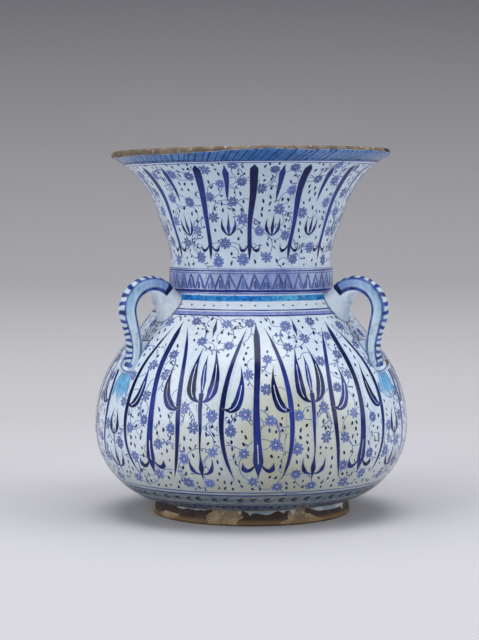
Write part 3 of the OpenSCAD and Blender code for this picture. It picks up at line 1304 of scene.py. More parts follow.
class Field:
    """A painted field: bold motifs over rosettes on scrolling stems, leaves and dots."""

    cell = 0.5
    columns = 1200
    lifts = {"haze": 0.022, "stems": 0.040, "dots": 0.055, "rosettes": 0.065, "motifs": 0.090,
             "veins": 0.120}
    sway = 0.011
    lean = 0.0
    haze_share = 0.45
    vein_half = 0.28
    motif_room = 0.6
    petal_counts = (7, 8, 8, 9)
    petals = (Petal(Hue.COBALT, 2.0, 0.65, 0.40, 0.270), Petal(Hue.PALE, 0.82, 0.68, 0.30, 0.170))
    stem_half = 0.34
    stem_leaves = (7, 11, 15, 18)
    tendril_half = 0.30
    tendril_gap = 2.4
    tendril_leaf = 2.6
    curve_samples = 24
    rosette_room = 1.2
    rosette_edge = 3.2
    rosette_tries = 16000
    extra_stem_share = 0.35
    dot_room = 1.75
    dot_edge = 1.3
    dot_tries = 60000
    dot_share = 0.66

    def __init__(self, surface: Surface, name: str, heights: Pair, seed: int) -> None:
        """Sets out an empty field.

        Args:
            surface: The wall.
            name: First part of its coats' names.
            heights: Where it starts and ends.
            seed: Seed of its hand-made irregularity.
        """
        self.surface = surface
        self.low, self.high = (surface.length(z) for z in heights)
        self.chance = random.Random(seed)
        self.taken = np.zeros((int((self.high - self.low) / self.cell) + 1, self.columns), bool)
        self.coats = {kind: Paint(surface, f"{name}_{kind}", lift) for kind, lift in self.lifts.items()}

    def window(self, turn: float, s: float, reach: float) -> tuple[Ints, Ints]:
        """Finds the cells round a place.

        Args:
            turn: Its angle.
            s: Its length up the wall.
            reach: Distance round it.

        Returns:
            Row and column numbers of a square of cells.
        """
        row = int((s - self.low) / self.cell)
        high = max(1, int(reach / self.cell))
        wide = max(1, int(reach / float(self.surface.radius(s)) * self.columns / TURN))
        column = int(turn / TURN * self.columns)
        rows = np.clip(np.arange(row - high, row + high + 1), 0, len(self.taken) - 1)
        return rows, np.arange(column - wide, column + wide + 1) % self.columns

    def take(self, turn: float, s: float, reach: float) -> None:
        """Marks a place as painted."""
        self.taken[np.ix_(*self.window(turn, s, reach))] = True

    def scatter(self, gap: float, edge: float, tries: int, keep: bool) -> list[Pair]:
        """Finds free places.

        Args:
            gap: Half the room that each place needs.
            edge: Room to keep from the field's edges.
            tries: Number of places tried.
            keep: Whether each place found is taken, so that no other comes near it.

        Returns:
            Turn and length up the wall of each place.
        """
        found = []
        widest = float(self.surface.r.max())
        for _ in range(tries):
            turn = self.chance.uniform(0.0, TURN)
            s = self.chance.uniform(self.low + edge, self.high - edge)
            if self.chance.random() > float(self.surface.radius(s)) / widest:
                continue
            window = np.ix_(*self.window(turn, s, gap))
            if not self.taken[window].any():
                self.taken[window] = keep
                found.append((turn, s))
        return found

    def either(self) -> float:
        """Returns one side or the other, as -1 or 1."""
        return self.chance.choice((-1.0, 1.0))

    def draw(self, at: Anchor, strokes: Strokes) -> None:
        """Paints bold strokes, some with a faint run of pigment, and keeps the small work off them.

        Args:
            at: The motif's anchor.
            strokes: Side and shape of each stroke.
        """
        for side, blade in strokes:
            path = self.unsteady(blade.path(side))
            widths = profile(len(path), blade.outline)
            tone = self.chance.uniform(0.75, 1.35)
            self.coats["motifs"].stroke(at, path, widths, blade.hue, tone, Hue.COBALT)
            if self.chance.random() < self.haze_share:
                drift = (self.chance.uniform(-0.8, 0.8), self.chance.uniform(-4.0, 0.0))
                self.coats["haze"].stroke(at, path + drift, 1.7 * widths + 0.8, Hue.PALE, load=0.25)
            if blade.vein is not None:
                start, end = (int(share * len(path)) for share in blade.vein)
                self.coats["veins"].stroke(at, path[start:end], self.vein_half, Hue.RESERVE)
            for (x, y), width in zip(path, widths):
                self.take(at.turn + x / at.radius, at.s + y, width + self.motif_room)

    def unsteady(self, path: Floats) -> Floats:
        """Leans and sways a path as a hand draws it.

        Args:
            path: The path as designed.

        Returns:
            The path as drawn.
        """
        t = np.linspace(0.0, 1.0, len(path))
        chord = path[-1] - path[0]
        waves = self.chance.uniform(0.5, 1.2) * TURN * t + self.chance.uniform(0.0, TURN)
        sway = self.sway * np.sin(math.pi * t) * np.sin(waves)
        drawn = path + sway[:, None] * np.array([-chord[1], chord[0]])
        drawn[:, 0] += self.lean * path[:, 1]
        return drawn

    def rosette(self, turn: float, s: float, size: float) -> None:
        """Paints a rosette: dark petals, a paler dab on each, a dark middle and a light eye.

        Args:
            turn: Its angle.
            s: Its length up the wall.
            size: Its radius.
        """
        paint = self.coats["rosettes"]
        at = paint.anchor(turn, s)
        paint.strokes += -paint.strokes % paint.layers
        tone = self.chance.uniform(0.62, 1.0)
        count = self.chance.choice(self.petal_counts)
        start = self.chance.uniform(0.0, TURN)
        for petal in self.petals:
            dab = (petal.length * size, petal.width * size)
            for k in range(count):
                a = start + k * TURN / count
                x, y = petal.reach * size * math.cos(a), petal.reach * size * math.sin(a)
                paint.spot(at, x, y, dab, a, petal.hue, petal.tone * tone, 7)
        for r, hue, deep, sides in ((0.38, Hue.COBALT, 1.3 * tone, 7), (0.24, Hue.RESERVE, 0.85, 6)):
            paint.spot(at, 0.0, 0.0, (r * size, r * size), 0.0, hue, deep, sides)

    def comma(self, at: Anchor, here: Floats, way: Floats, size: float) -> None:
        """Paints a small bent leaf.

        Args:
            at: The stem's anchor.
            here: Where the leaf starts.
            way: Direction of the stem there.
            size: The leaf's length.
        """
        way = way / np.linalg.norm(way)
        bend = np.array([-way[1], way[0]]) * self.either()
        tip = here + size * (0.75 * bend + 0.65 * way)
        leaf = bezier(here, here + 0.3 * size * bend, tip - 0.4 * size * way, tip, 7)
        tone = self.chance.uniform(0.5, 1.1)
        self.coats["stems"].leaf(at, leaf, 0.20 * size, Hue.COBALT, tone, 0.62)

    def stem(self, start: Pair, end: Pair) -> None:
        """Paints a curved stem from one rosette to another, with a few leaves.

        Args:
            start: Turn and length up the wall where it starts.
            end: Where it ends.
        """
        halfway = 0.5 * (start[1] + end[1])
        at = Anchor(start[0], start[1], float(self.surface.radius(halfway)))
        swing = (end[0] - start[0] + math.pi) % TURN - math.pi
        across = np.array([swing * at.radius, end[1] - start[1]])
        bow = self.either() * self.chance.uniform(0.28, 0.48)
        side = np.array([-across[1], across[0]]) * bow
        path = bezier((0.0, 0.0), 0.25 * across + side, 0.75 * across + side, across, self.curve_samples)
        tone = self.chance.uniform(0.8, 1.3)
        self.coats["stems"].stroke(at, path, self.stem_half, Hue.LINE, tone)
        for k in self.stem_leaves:
            if self.chance.random() < 0.5:
                self.comma(at, path[k], path[k + 1] - path[k - 1], self.chance.uniform(2.2, 3.2))

    def tendril(self, turn: float, s: float) -> None:
        """Paints a tendril that leaves a rosette, curls up and ends in a leaf.

        Args:
            turn: The rosette's angle.
            s: Its length up the wall.
        """
        at = self.coats["stems"].anchor(turn, s)
        start = self.chance.uniform(0.0, TURN)
        wide = self.chance.uniform(4.2, 6.2)
        curl = self.either() * self.chance.uniform(2.4, 3.4)
        reach = np.linspace(wide, 0.62 * wide, self.curve_samples)[:, None]
        hub = (wide + self.tendril_gap) * np.array([math.cos(start), math.sin(start)])
        path = hub + reach * circle(start + math.pi + np.linspace(0.0, curl, self.curve_samples))
        if self.low + 1.0 < s + path[:, 1].min() and s + path[:, 1].max() < self.high - 1.0:
            tone = self.chance.uniform(0.9, 1.4)
            self.coats["stems"].stroke(at, path, self.tendril_half, Hue.LINE, tone)
            self.comma(at, path[-1], path[-1] - path[-3], self.tendril_leaf)

    def fill(self, spacing: float) -> None:
        """Fills the field round its bold motifs.

        Args:
            spacing: Distance between rosettes.
        """
        chosen: list[Pair] = []
        for place in self.scatter(self.rosette_room, self.rosette_edge, self.rosette_tries, False):
            if all(self.apart(place, other) >= spacing for other in chosen):
                chosen.append(place)
        for turn, s in chosen:
            size = self.chance.uniform(3.1, 3.8)
            self.rosette(turn, s, size)
            self.tendril(turn, s)
            self.take(turn, s, size + 0.3)
        for k, place in enumerate(chosen):
            others = sorted(chosen, key=lambda other: self.apart(place, other))[1:4]
            for rank, other in enumerate(others):
                if (chosen.index(other) > k and rank < 2) or self.chance.random() < self.extra_stem_share:
                    self.stem(place, other)
        for turn, s in self.scatter(self.dot_room, self.dot_edge, self.dot_tries, True):
            self.dot(turn, s)

    def dot(self, turn: float, s: float) -> None:
        """Paints a dot or a small leaf in a place that is still free.

        Args:
            turn: Its angle.
            s: Its length up the wall.
        """
        dots = self.coats["dots"]
        at = dots.anchor(turn, s)
        lean = self.chance.uniform(-0.7, 0.7) + 0.5 * math.pi
        if self.chance.random() < self.dot_share:
            size = self.chance.uniform(0.66, 1.1)
            oval = (1.4 * size, 0.85 * size)
            dots.spot(at, 0.0, 0.0, oval, lean, Hue.INK, self.chance.uniform(0.7, 3.0), 6)
        else:
            bend = self.chance.uniform(-1.5, 1.5)
            path = bezier((0.0, -1.6), (0.0, -0.4), (0.3 * bend, 0.6), (bend, 1.5), 6)
            dots.leaf(at, path, 0.95, Hue.COBALT, self.chance.uniform(0.3, 1.0), 0.4)

    def apart(self, first: Pair, second: Pair) -> float:
        """Returns the distance between two places on the wall."""
        swing = (first[0] - second[0] + math.pi) % TURN - math.pi
        radius = float(self.surface.radius(0.5 * (first[1] + second[1])))
        return math.hypot(swing * radius, first[1] - second[1])

    def build(self, finish: Material) -> None:
        """Makes the objects of the coats that hold paint."""
        for coat in self.coats.values():
            if coat.strokes:
                coat.build(Slot.WHITE, finish)


def lip_wear(turn: Floats, z: Floats) -> Floats:
    """Wear of the glaze: full on the lip, and fading down least in front and most on the left.

    Args:
        turn: Angles round the axis.
        z: Heights.

    Returns:
        The wear, from 0 to 1.
    """
    fade = 1.3
    uneven = 0.15
    knots = ((0.0, 213.2), (90.0, 212.8), (190.0, 211.5), (232.0, 211.6), (258.0, 213.1),
             (275.0, 213.6), (300.0, 213.3))
    none = np.interp(np.degrees(turn), *zip(*knots), period=360.0) + uneven * np.sin(7.0 * turn)
    return np.clip((z - none) / fade, 0.0, 1.0)


def profile(count: int, knots: Sequence[Pair]) -> Floats:
    """Widths along a stroke.

    Args:
        count: Number of samples.
        knots: Share of the length and half-width at each knot.

    Returns:
        Smoothed half-widths.
    """
    least = 0.02
    widths = np.interp(np.linspace(0.0, 1.0, count), *zip(*knots))
    smooth = np.convolve(np.pad(widths, 1, "edge"), (0.25, 0.5, 0.25), "valid")
    return np.maximum(smooth, least)


@dataclass
class FieldPainting(ABC):
    """A field of bold motifs that repeat in equal parts round the lamp, filled with small work."""

    surface: Surface
    name: str
    units: int
    foot_z: float
    top_z: float
    first_turn: float
    spacing: float
    seed: int
    lean: float

    def paint(self, finish: Material) -> None:
        """Paints the field.

        Args:
            finish: The glaze.
        """
        area = Field(self.surface, self.name, (self.foot_z, self.top_z), self.seed)
        radius = self.true_radius(area)
        for k in range(self.units):
            turn = (self.first_turn + k * TURN / self.units) % TURN
            beside = (turn + 0.5 * TURN / self.units) % TURN
            area.lean = area.chance.uniform(-self.lean, self.lean)
            self.unit(area, k, Anchor(turn, area.low, radius), Anchor(beside, area.low, radius))
        area.fill(self.spacing)
        self.age(area)
        area.build(finish)

    @abstractmethod
    def true_radius(self, area: Field) -> float:
        """Returns the radius at which the motifs' widths are true."""

    @abstractmethod
    def unit(self, area: Field, number: int, at: Anchor, between: Anchor) -> None:
        """Paints the motifs of one part.

        Args:
            area: The field.
            number: The part's number.
            at: Foot of the part's middle line.
            between: Foot of the line halfway to the next part.
        """

    def age(self, area: Field) -> None:
        """Leaves the field as it was painted."""


@dataclass
class BellyPainting(FieldPainting):
    """The belly's field: lancets in lyre-shaped scrolls, tulips or buds, and a hairline crack."""

    name: str = "belly"
    units: int = 9
    foot_z: float = 23.8
    top_z: float = 119.6
    first_turn: float = math.radians(270.0)
    spacing: float = 12.4
    seed: int = 11
    lean: float = 0.022
    crack_turn: float = math.radians(279.6)
    crack_z: float = 77.0
    handle_every: int = 3
    handle_first: int = 1
    tassel_s: tuple[float, ...] = (50.0, 80.0, 3.0)
    tassel_half: float = 6.5
    lancet: Strokes = middle(
        Blade(((0, 9), (0, 105)), 70, ((0, 0), (0.05, 1.6), (0.11, 3.5), (0.2, 2.6), (0.5, 2.1),
                                       (0.9, 2.8), (1, 0)), vein=(0.10, 0.24)),
    ) + both(
        Blade(((0, 22), (3, 13), (9.5, 12), (8.6, 19.5)), 26, ((0, 0.3), (0.45, 1.5), (0.8, 2.0), (1, 0))))
    scroll: Strokes = both(
        Blade(((13.5, 8), (24.5, 34), (21.5, 76), (7, 101)), 60,
              ((0, 0), (0.1, 1.3), (0.45, 2.0), (0.85, 1.6), (1, 0))),
        Blade(((20.6, 50), (12, 44), (7, 60), (10.6, 75)), 34,
              ((0, 0.4), (0.35, 3.2), (0.65, 2.6), (1, 0)), vein=(0.2, 0.75)))
    trefoil: Strokes = both(
        Blade(((0, 12), (4, 11), (8, 15), (6.6, 22)), 22, ((0, 0.4), (0.55, 1.8), (1, 0))),
    ) + middle(
        Blade(((0, 7), (0, 24)), 20, ((0, 0), (0.5, 2.1), (1, 0.3))))
    tulip: Strokes = middle(
        Blade(((0, 22), (0, 58)), 30, ((0, 0.5), (0.5, 1.4), (1, 1.8))),
        Blade(((0, 55), (0, 82)), 24, ((0, 0.6), (0.4, 2.2), (0.7, 1.6), (1, 0)), Hue.COBALT, (0.2, 0.75)),
    ) + both(
        Blade(((0.8, 53), (9, 54), (8.6, 72), (4.4, 88)), 40,
              ((0, 0.6), (0.35, 3.4), (0.6, 2.8), (1, 0)), vein=(0.2, 0.75)),
    ) + middle(
        Blade(((0, 94), (0, 107)), 18, ((0, 0), (0.45, 2.1), (1, 0.2))))
    bud: Strokes = middle(
        Blade(((0, 22), (0, 34)), 16, ((0, 0.5), (1, 1.2))),
    ) + both(
        Blade(((0.6, 31), (4.6, 33), (4.4, 40), (1.2, 46)), 24, ((0, 0.5), (0.4, 2.2), (1, 0))))
    crack: Blade = Blade(((0, 0), (1.6, -14), (-2.6, -30), (-2, -47)), 40,
                         ((0, 0.1), (0.3, 0.24), (0.8, 0.20), (1, 0.1)), Hue.HAIRLINE)

    def true_radius(self, area: Field) -> float:
        """Returns the belly's greatest radius."""
        return float(self.surface.r.max())

    def unit(self, area: Field, number: int, at: Anchor, between: Anchor) -> None:
        """Paints a lancet in its lyre, and beside it a tulip, or a bud that leaves room for a tassel.

        Args:
            area: The field.
            number: The part's number.
            at: Foot of the lancet.
            between: Foot of the tulip or the bud.
        """
        area.draw(at, self.lancet + self.scroll)
        if number % self.handle_every != self.handle_first:
            area.draw(between, self.trefoil + self.tulip)
            return
        area.draw(between, self.trefoil + self.bud)
        for s in np.arange(*self.tassel_s):
            area.take(between.turn, between.s + s, self.tassel_half)

    def age(self, area: Field) -> None:
        """Draws the hairline crack.

        Args:
            area: The field.
        """
        veins = area.coats["veins"]
        path = self.crack.path(1.0)
        path[:, 0] += 0.25 * np.sin(1.9 * path[:, 1]) + 0.15 * np.sin(4.3 * path[:, 1])
        start = veins.anchor(self.crack_turn, self.surface.length(self.crack_z))
        veins.stroke(start, path, profile(len(path), self.crack.outline), self.crack.hue)


@dataclass
class NeckPainting(FieldPainting):
    """The neck's field: tall and short blades with small palmettes in equal parts."""

    name: str = "neck"
    units: int = 13
    foot_z: float = 147.4
    top_z: float = 207.6
    first_turn: float = math.radians(266.0)
    spacing: float = 11.6
    seed: int = 23
    lean: float = 0.055
    true_share: float = 0.55
    top_gap: float = 2.5
    tall_foot: float = 4.0
    tall: Knots = ((0, 0), (0.05, 1.2), (0.14, 1.9), (0.3, 1.7), (0.8, 2.5), (0.95, 2.4), (1, 0))
    short_foot: float = 39.0
    short: Knots = ((0, 0), (0.2, 1.2), (0.75, 2.0), (1, 0))
    curls: Strokes = both(
        Blade(((0, 16), (2, 8.5), (7.4, 8), (6.6, 14.5)), 24, ((0, 0.3), (0.6, 1.5), (1, 0))))
    palmette: Strokes = tuple(
        (side, Blade(((0, 19), (2.6, 20), (5.4, 24), (3.6, tip)), 20, ((0, 0.4), (0.55, 1.6), (1, 0))))
        for side, tip in ((1.0, 30.0), (0.0, 33.0), (-1.0, 30.0)))

    def true_radius(self, area: Field) -> float:
        """Returns the radius a share of the way up the neck."""
        return float(self.surface.radius(area.low + self.true_share * (area.high - area.low)))

    def unit(self, area: Field, number: int, at: Anchor, between: Anchor) -> None:
        """Paints a tall blade with curled base leaves, and a palmette under a short blade.

        Args:
            area: The field.
            number: The part's number.
            at: Foot of the tall blade.
            between: Foot of the palmette's middle line.
        """
        top = (0.0, area.high - area.low - self.top_gap)
        tall = Blade(((0.0, self.tall_foot), top), 60, self.tall)
        short = Blade(((0.0, self.short_foot), top), 40, self.short, Hue.COBALT)
        area.draw(at, middle(tall) + self.curls)
        area.draw(between, self.palmette + middle(short))


@dataclass(frozen=True)
class Line:
    """A line round the lamp: its height, half its width, its pigment and how far the brush strays."""

    z: float
    half: float
    hue: Hue
    waver: float = 0.10


@dataclass
class Bands:
    """The painted bands: rim, collar, turquoise, double lines and the border over the foot."""

    surface: Surface
    seed: int = 5
    rim_z: Pair = (207.9, 215.7)
    rim_lines: tuple[Line, ...] = (Line(208.0, 0.55, Hue.COBALT), Line(206.9, 0.35, Hue.LINE))
    hatches: int = 126
    hatch_samples: int = 40
    turquoise_z: Pair = (128.2, 131.7)
    curls: int = 330
    curl_margin: float = 0.8
    dots_z: float = 126.1
    dots: int = 44
    violet_z: Pair = (120.2, 122.7)
    double_line: tuple[Line, ...] = (Line(123.5, 0.50, Hue.COBALT), Line(120.5, 0.50, Hue.COBALT))
    collar_lines: tuple[Line, ...] = (
        Line(145.6, 0.34, Hue.COBALT, 0.06), Line(144.2, 0.28, Hue.LINE, 0.06),
        Line(134.0, 0.85, Hue.COBALT), Line(132.7, 0.26, Hue.LINE, 0.05))
    zigzag_z: Pair = (135.0, 143.7)
    zigzags: int = 46
    zigzag_width: float = 0.66
    border_lines: tuple[Line, ...] = (Line(22.6, 0.50, Hue.LINE), Line(20.8, 0.55, Hue.COBALT))
    border_z: Pair = (9.6, 21.0)
    parting_z: float = 15.0
    leaves_z: float = 17.7
    leaves: int = 62
    beads_z: float = 12.6
    beads: int = 96

    def __post_init__(self) -> None:
        """Starts the coats and the hand's irregularity."""
        self.chance = random.Random(self.seed)
        self.washes = Paint(self.surface, "band_washes", 0.020)
        self.lines = Paint(self.surface, "band_lines", 0.055)
        self.zigzag = Paint(self.surface, "collar_zigzag", 0.055)

    def paint(self, white: Material, collar: Material) -> None:
        """Paints every band.

        Args:
            white: The body's glaze.
            collar: The collar's glaze.
        """
        self.rim()
        self.shoulder()
        self.border()
        self.washes.build(Slot.WHITE, white)
        self.lines.build(Slot.WHITE, white)
        self.collar()
        self.zigzag.build(Slot.COLLAR, collar)

    def draw(self, paint: Paint, lines: Sequence[Line]) -> None:
        """Paints lines round the lamp.

        Args:
            paint: The coat.
            lines: The lines.
        """
        for line in lines:
            s = self.surface.length(line.z)
            paint.ring(s - line.half, s + line.half, line.hue, line.waver)

    def spaced(self, paint: Paint, count: int, s: float, stray: float,
               rise: float = 0.0) -> Iterator[Anchor]:
        """Goes round the lamp in nearly equal steps.

        Args:
            paint: The coat.
            count: Number of steps.
            s: Length up the wall.
            stray: How far the hand strays, in steps.
            rise: How far it strays up and down.

        Returns:
            The anchor of each step.
        """
        for k in range(count):
            turn = (k + self.chance.uniform(-stray, stray)) * TURN / count
            yield paint.anchor(turn, s + self.chance.uniform(-rise, rise) if rise else s)

    def rim(self) -> None:
        """Paints the band under the lip, hatched with slanting strokes, every third one heavier."""
        lines, chance = self.lines, self.chance
        low, high = map(self.surface.length, self.rim_z)
        tint = self.washes.ring(low, high, Hue.WASH, 0.16, 49, Hue.FLOOD)
        self.draw(lines, self.rim_lines)
        lines.over = tint
        for k, at in enumerate(self.spaced(lines, self.hatches, low, 0.2)):
            slant = chance.uniform(4.2, 5.6)
            top = (slant, (high - low) * chance.uniform(0.78, 0.97))
            path = np.linspace((0.0, 0.4), top, self.hatch_samples)
            half = (0.62 if k % 3 == 0 else 0.38) * chance.uniform(0.8, 1.2)
            lines.stroke(at, path, half, Hue.TEAL, chance.uniform(0.7, 1.5))
        lines.over = None

    def shoulder(self) -> None:
        """Paints the turquoise band with its small curls, the row of dots and the double line."""
        lines, chance = self.lines, self.chance
        low, high = map(self.surface.length, self.turquoise_z)
        lines.over = self.washes.ring(low, high, Hue.TURQUOISE, 0.10, 7, Hue.AQUA)
        for _ in range(self.curls):
            turn = chance.uniform(0.0, TURN)
            at = lines.anchor(turn, chance.uniform(low + self.curl_margin, high - self.curl_margin))
            a = chance.uniform(0.0, TURN) + np.linspace(0.0, 3.4, 8)
            curl = chance.uniform(0.45, 0.85) * circle(a)
            lines.stroke(at, curl, 0.20, Hue.TEAL, chance.uniform(0.7, 1.6))
        lines.over = None
        row = self.surface.length(self.dots_z)
        for k in range(self.dots):
            turn = k * TURN / self.dots + chance.uniform(-0.02, 0.02)
            at = lines.anchor(turn, row + chance.uniform(-0.4, 0.4))
            lines.spot(at, 0.0, 0.0, (0.75, 0.6), 0.0, Hue.INK)
        self.draw(lines, self.double_line)
        low, high = map(self.surface.length, self.violet_z)
        self.washes.ring(low, high, Hue.VIOLET, 0.08)

    def collar(self) -> None:
        """Paints the collar's lines and its quick, uneven zigzag with short strokes in it."""
        paint, chance = self.zigzag, self.chance
        self.draw(paint, self.collar_lines)
        low, high = map(self.surface.length, self.zigzag_z)
        rise = high - low

        def wash(around: Floats) -> Floats:
            """Returns the collar's wash at each turn."""
            return np.broadcast_to(Hue.LILAC.value, (*around.shape, 3))

        paint.over = wash
        for at in self.spaced(paint, self.zigzags, low, 0.12):
            wide = TURN / self.zigzags * at.radius
            peak = (wide * chance.uniform(0.30, 0.55), rise)
            strokes = [((0.0, 0.0), peak, self.zigzag_width), (peak, (wide, 0.0), self.zigzag_width)]
            for share in (0.36, 0.60, 0.82):
                if chance.random() < 0.75:
                    foot = (wide * (share + chance.uniform(-0.08, 0.08)), 0.3)
                    top = (mix(foot[0], peak[0], 0.45), rise * chance.uniform(0.35, 0.75))
                    strokes.append((foot, top, chance.uniform(0.45, 0.85)))
            for start, end, width in strokes:
                path = np.linspace(start, end, 7) + (chance.uniform(-0.3, 0.3), 0.0)
                widths = width * profile(len(path), ((0, 0.8), (0.4, 1.2), (1, 0.6)))
                paint.stroke(at, path, widths, Hue.LINE, chance.uniform(0.55, 1.10))

    def border(self) -> None:
        """Paints the double line, the running leaves and the beaded band over the foot."""
        lines, washes, chance = self.lines, self.washes, self.chance
        self.draw(lines, self.border_lines)
        low, high = map(self.surface.length, self.border_z)
        parting = self.surface.length(self.parting_z)
        washes.ring(low, parting + 0.6, Hue.SMOKE, 0.12, 9, Hue.SLATE)
        lines.over = washes.ring(parting, high, Hue.SAGE, 0.12, 9, Hue.SLATE)
        step = TURN / self.leaves
        for at in self.spaced(lines, self.leaves, self.surface.length(self.leaves_z), 0.15):
            stem = np.linspace((0.0, 0.0), (step * at.radius, 0.0), 7)
            stem[:, 1] += 0.25 * np.sin(np.linspace(0.0, TURN, len(stem)))
            lines.stroke(at, stem, 0.24, Hue.INK, chance.uniform(1.6, 3.2))
            for rise in (chance.uniform(1.6, 2.6), -chance.uniform(1.2, 2.2)):
                path = bezier((0.0, 0.0), (1.2, 0.1 * rise), (2.2, 0.6 * rise), (4.2, rise), 8)
                lines.leaf(at, path, chance.uniform(0.6, 1.1), Hue.INK, chance.uniform(0.7, 2.0), 0.6)
        base = self.surface.length(self.beads_z)
        lines.over = washes.ring(base - 2.2, base + 2.4, Hue.COBALT, 0.25, 7, Hue.SLATE)
        for at in self.spaced(lines, self.beads, base, 0.2, 0.4):
            size = (chance.uniform(1.3, 2.2), chance.uniform(1.0, 1.5))
            lean = chance.uniform(1.2, 1.9)
            lines.spot(at, 0.0, 0.0, size, lean, Hue.INK, chance.uniform(0.6, 1.4), 6)
        lines.over = None


@dataclass
class StrapHandle:
    """A strap handle: it rises from its root, arches over, runs down to the belly and curls outward."""

    surface: Surface
    side: str
    turn: float
    chipped: bool = False
    strap_w: float = 10.5
    strap_t: float = 6.5
    strap_crown: float = 2.6
    curl_t: float = 4.4
    curl_crown: float = 0.4
    curl_w: float = 13.0
    tip_t: float = 3.0
    tip_w: float = 3.0
    arch_r: float = 14.0
    leg_lean: float = 12.0
    leg_pull: float = 0.4
    curl_r: float = 2.8
    curl_turn: float = 200.0
    curl_pinch: float = 0.75
    curl_eye: float = 1.3
    landing_z: float = 90.0
    root_z: float = 127.0
    root_rise: float = 45.0
    root_len: float = 8.0
    root_base_l: float = 21.0
    root_base_w: float = 17.0
    root_margin: float = 0.4
    gusset: float = 6.0
    gusset_l: float = 22.0
    wad_rise: float = 6.6
    wad_inset: float = 0.6
    wad_swell: float = 0.25
    wad_least: float = 0.4
    wad_bare: float = 0.90
    collar_z: float = 132.0
    slip_gap: float = 0.1
    bar_pitch: float = 4.0
    ring_l: float = 2.7
    outer_line: float = 0.15
    ridge: float = 0.75
    strap_edge: float = 1.05
    arch_samples: int = 110
    leg_samples: int = 90
    curl_samples: int = 60
    crown_points: int = 17
    side_points: int = 18
    back_points: int = 9
    root_sides: int = 48
    root_steps: int = 20
    wad_samples: int = 161
    wad_points: int = 13

    def __post_init__(self) -> None:
        """Works out the middle line's fixed points."""
        wall = self.surface.radius_at
        rise, lean = math.radians(self.root_rise), math.radians(self.leg_lean)
        self.root_dir = np.array([math.cos(rise), math.sin(rise)])
        foot = np.array([float(wall(self.root_z)), self.root_z])
        self.arch_start = foot + self.root_len * self.root_dir
        self.arch_c = self.arch_start + self.arch_r * np.array([self.root_dir[1], -self.root_dir[0]])
        self.arch_sweep = rise + 0.5 * math.pi + lean
        self.arch_end = self.arch_c + self.arch_r * np.array([math.cos(lean), -math.sin(lean)])
        self.landing = np.array([float(wall(self.landing_z)), self.landing_z])
        slope = float(wall(self.landing_z - 1) - wall(self.landing_z + 1)) / 2.0
        self.landing_a = math.atan(slope)
        out = np.array([math.cos(self.landing_a), math.sin(self.landing_a)])
        leg = np.array([-math.sin(lean), -math.cos(lean)])
        down = np.array([out[1], -out[0]])
        pull = self.leg_pull * np.linalg.norm(self.landing - self.arch_end)
        self.leg = (self.arch_end, self.arch_end + pull * leg, self.landing - pull * down, self.landing)
        self.curl_c = self.landing + self.curl_r * out

    def stations(self) -> tuple[Floats, Floats, Floats, Floats, Floats]:
        """Samples the middle line.

        Returns:
            Points of radius and height, headings, shares of the leg's taper, shares of the curl's
            taper, and lengths from the root.
        """
        a = math.radians(90.0 + self.root_rise) - np.linspace(0.0, self.arch_sweep, self.arch_samples)
        arch = self.arch_c + self.arch_r * circle(a)
        leg = bezier(*self.leg, self.leg_samples + 1)[1:]
        curl_shares = np.linspace(0.0, 1.0, self.curl_samples + 1)[1:]
        b = math.pi + self.landing_a + math.radians(self.curl_turn) * curl_shares
        curl = self.curl_c + self.curl_r * circle(b)
        line = np.vstack([arch, leg, curl])
        along = np.gradient(line, axis=0)
        leg_shares = np.linspace(0.0, 1.0, self.leg_samples + 1)[1:]
        share = np.concatenate([np.zeros(len(arch)), leg_shares, np.ones(len(curl))])
        turned = np.minimum(1.0, curl_shares / self.curl_pinch)
        pinch = np.concatenate([np.zeros(len(arch) + len(leg)), turned ** 2 * (3.0 - 2.0 * turned)])
        return line, np.arctan2(along[:, 1], along[:, 0]), share, pinch, lengths(line)

    def on_lamp(self, r: Floats, z: Floats, w: Floats) -> Floats:
        """Keeps points outside the belly.

        Args:
            r: Radii.
            z: Heights.
            w: Distances round the lamp.

        Returns:
            Places in the handle's own frame, outwards along X.
        """
        wall = self.surface.radius_at(np.minimum(z, self.collar_z)) + self.slip_gap
        least = np.sqrt(np.maximum(0.0, wall ** 2 - w ** 2))
        return np.column_stack([np.maximum(r, least), w, z])

    def piece(self, kind: str, points: Floats, sides: int, inks: Inks | None = None) -> Piece:
        """Makes one of the handle's pieces where it stands on the lamp.

        Args:
            kind: Last part of the piece's name.
            points: Rings of points in the handle's own frame.
            sides: Points in each ring.
            inks: Values per point that the finish reads.

        Returns:
            The object.
        """
        c, s = math.cos(self.turn), math.sin(self.turn)
        x, y, z = points.T
        placed = SETTLING.apply(np.column_stack([c * x - s * y, s * x + c * y, z]))
        faces = tube_faces(len(points) // sides, sides)
        return face_outwards(mesh_object(f"handle_{self.side}_{kind}", placed, faces, inks))

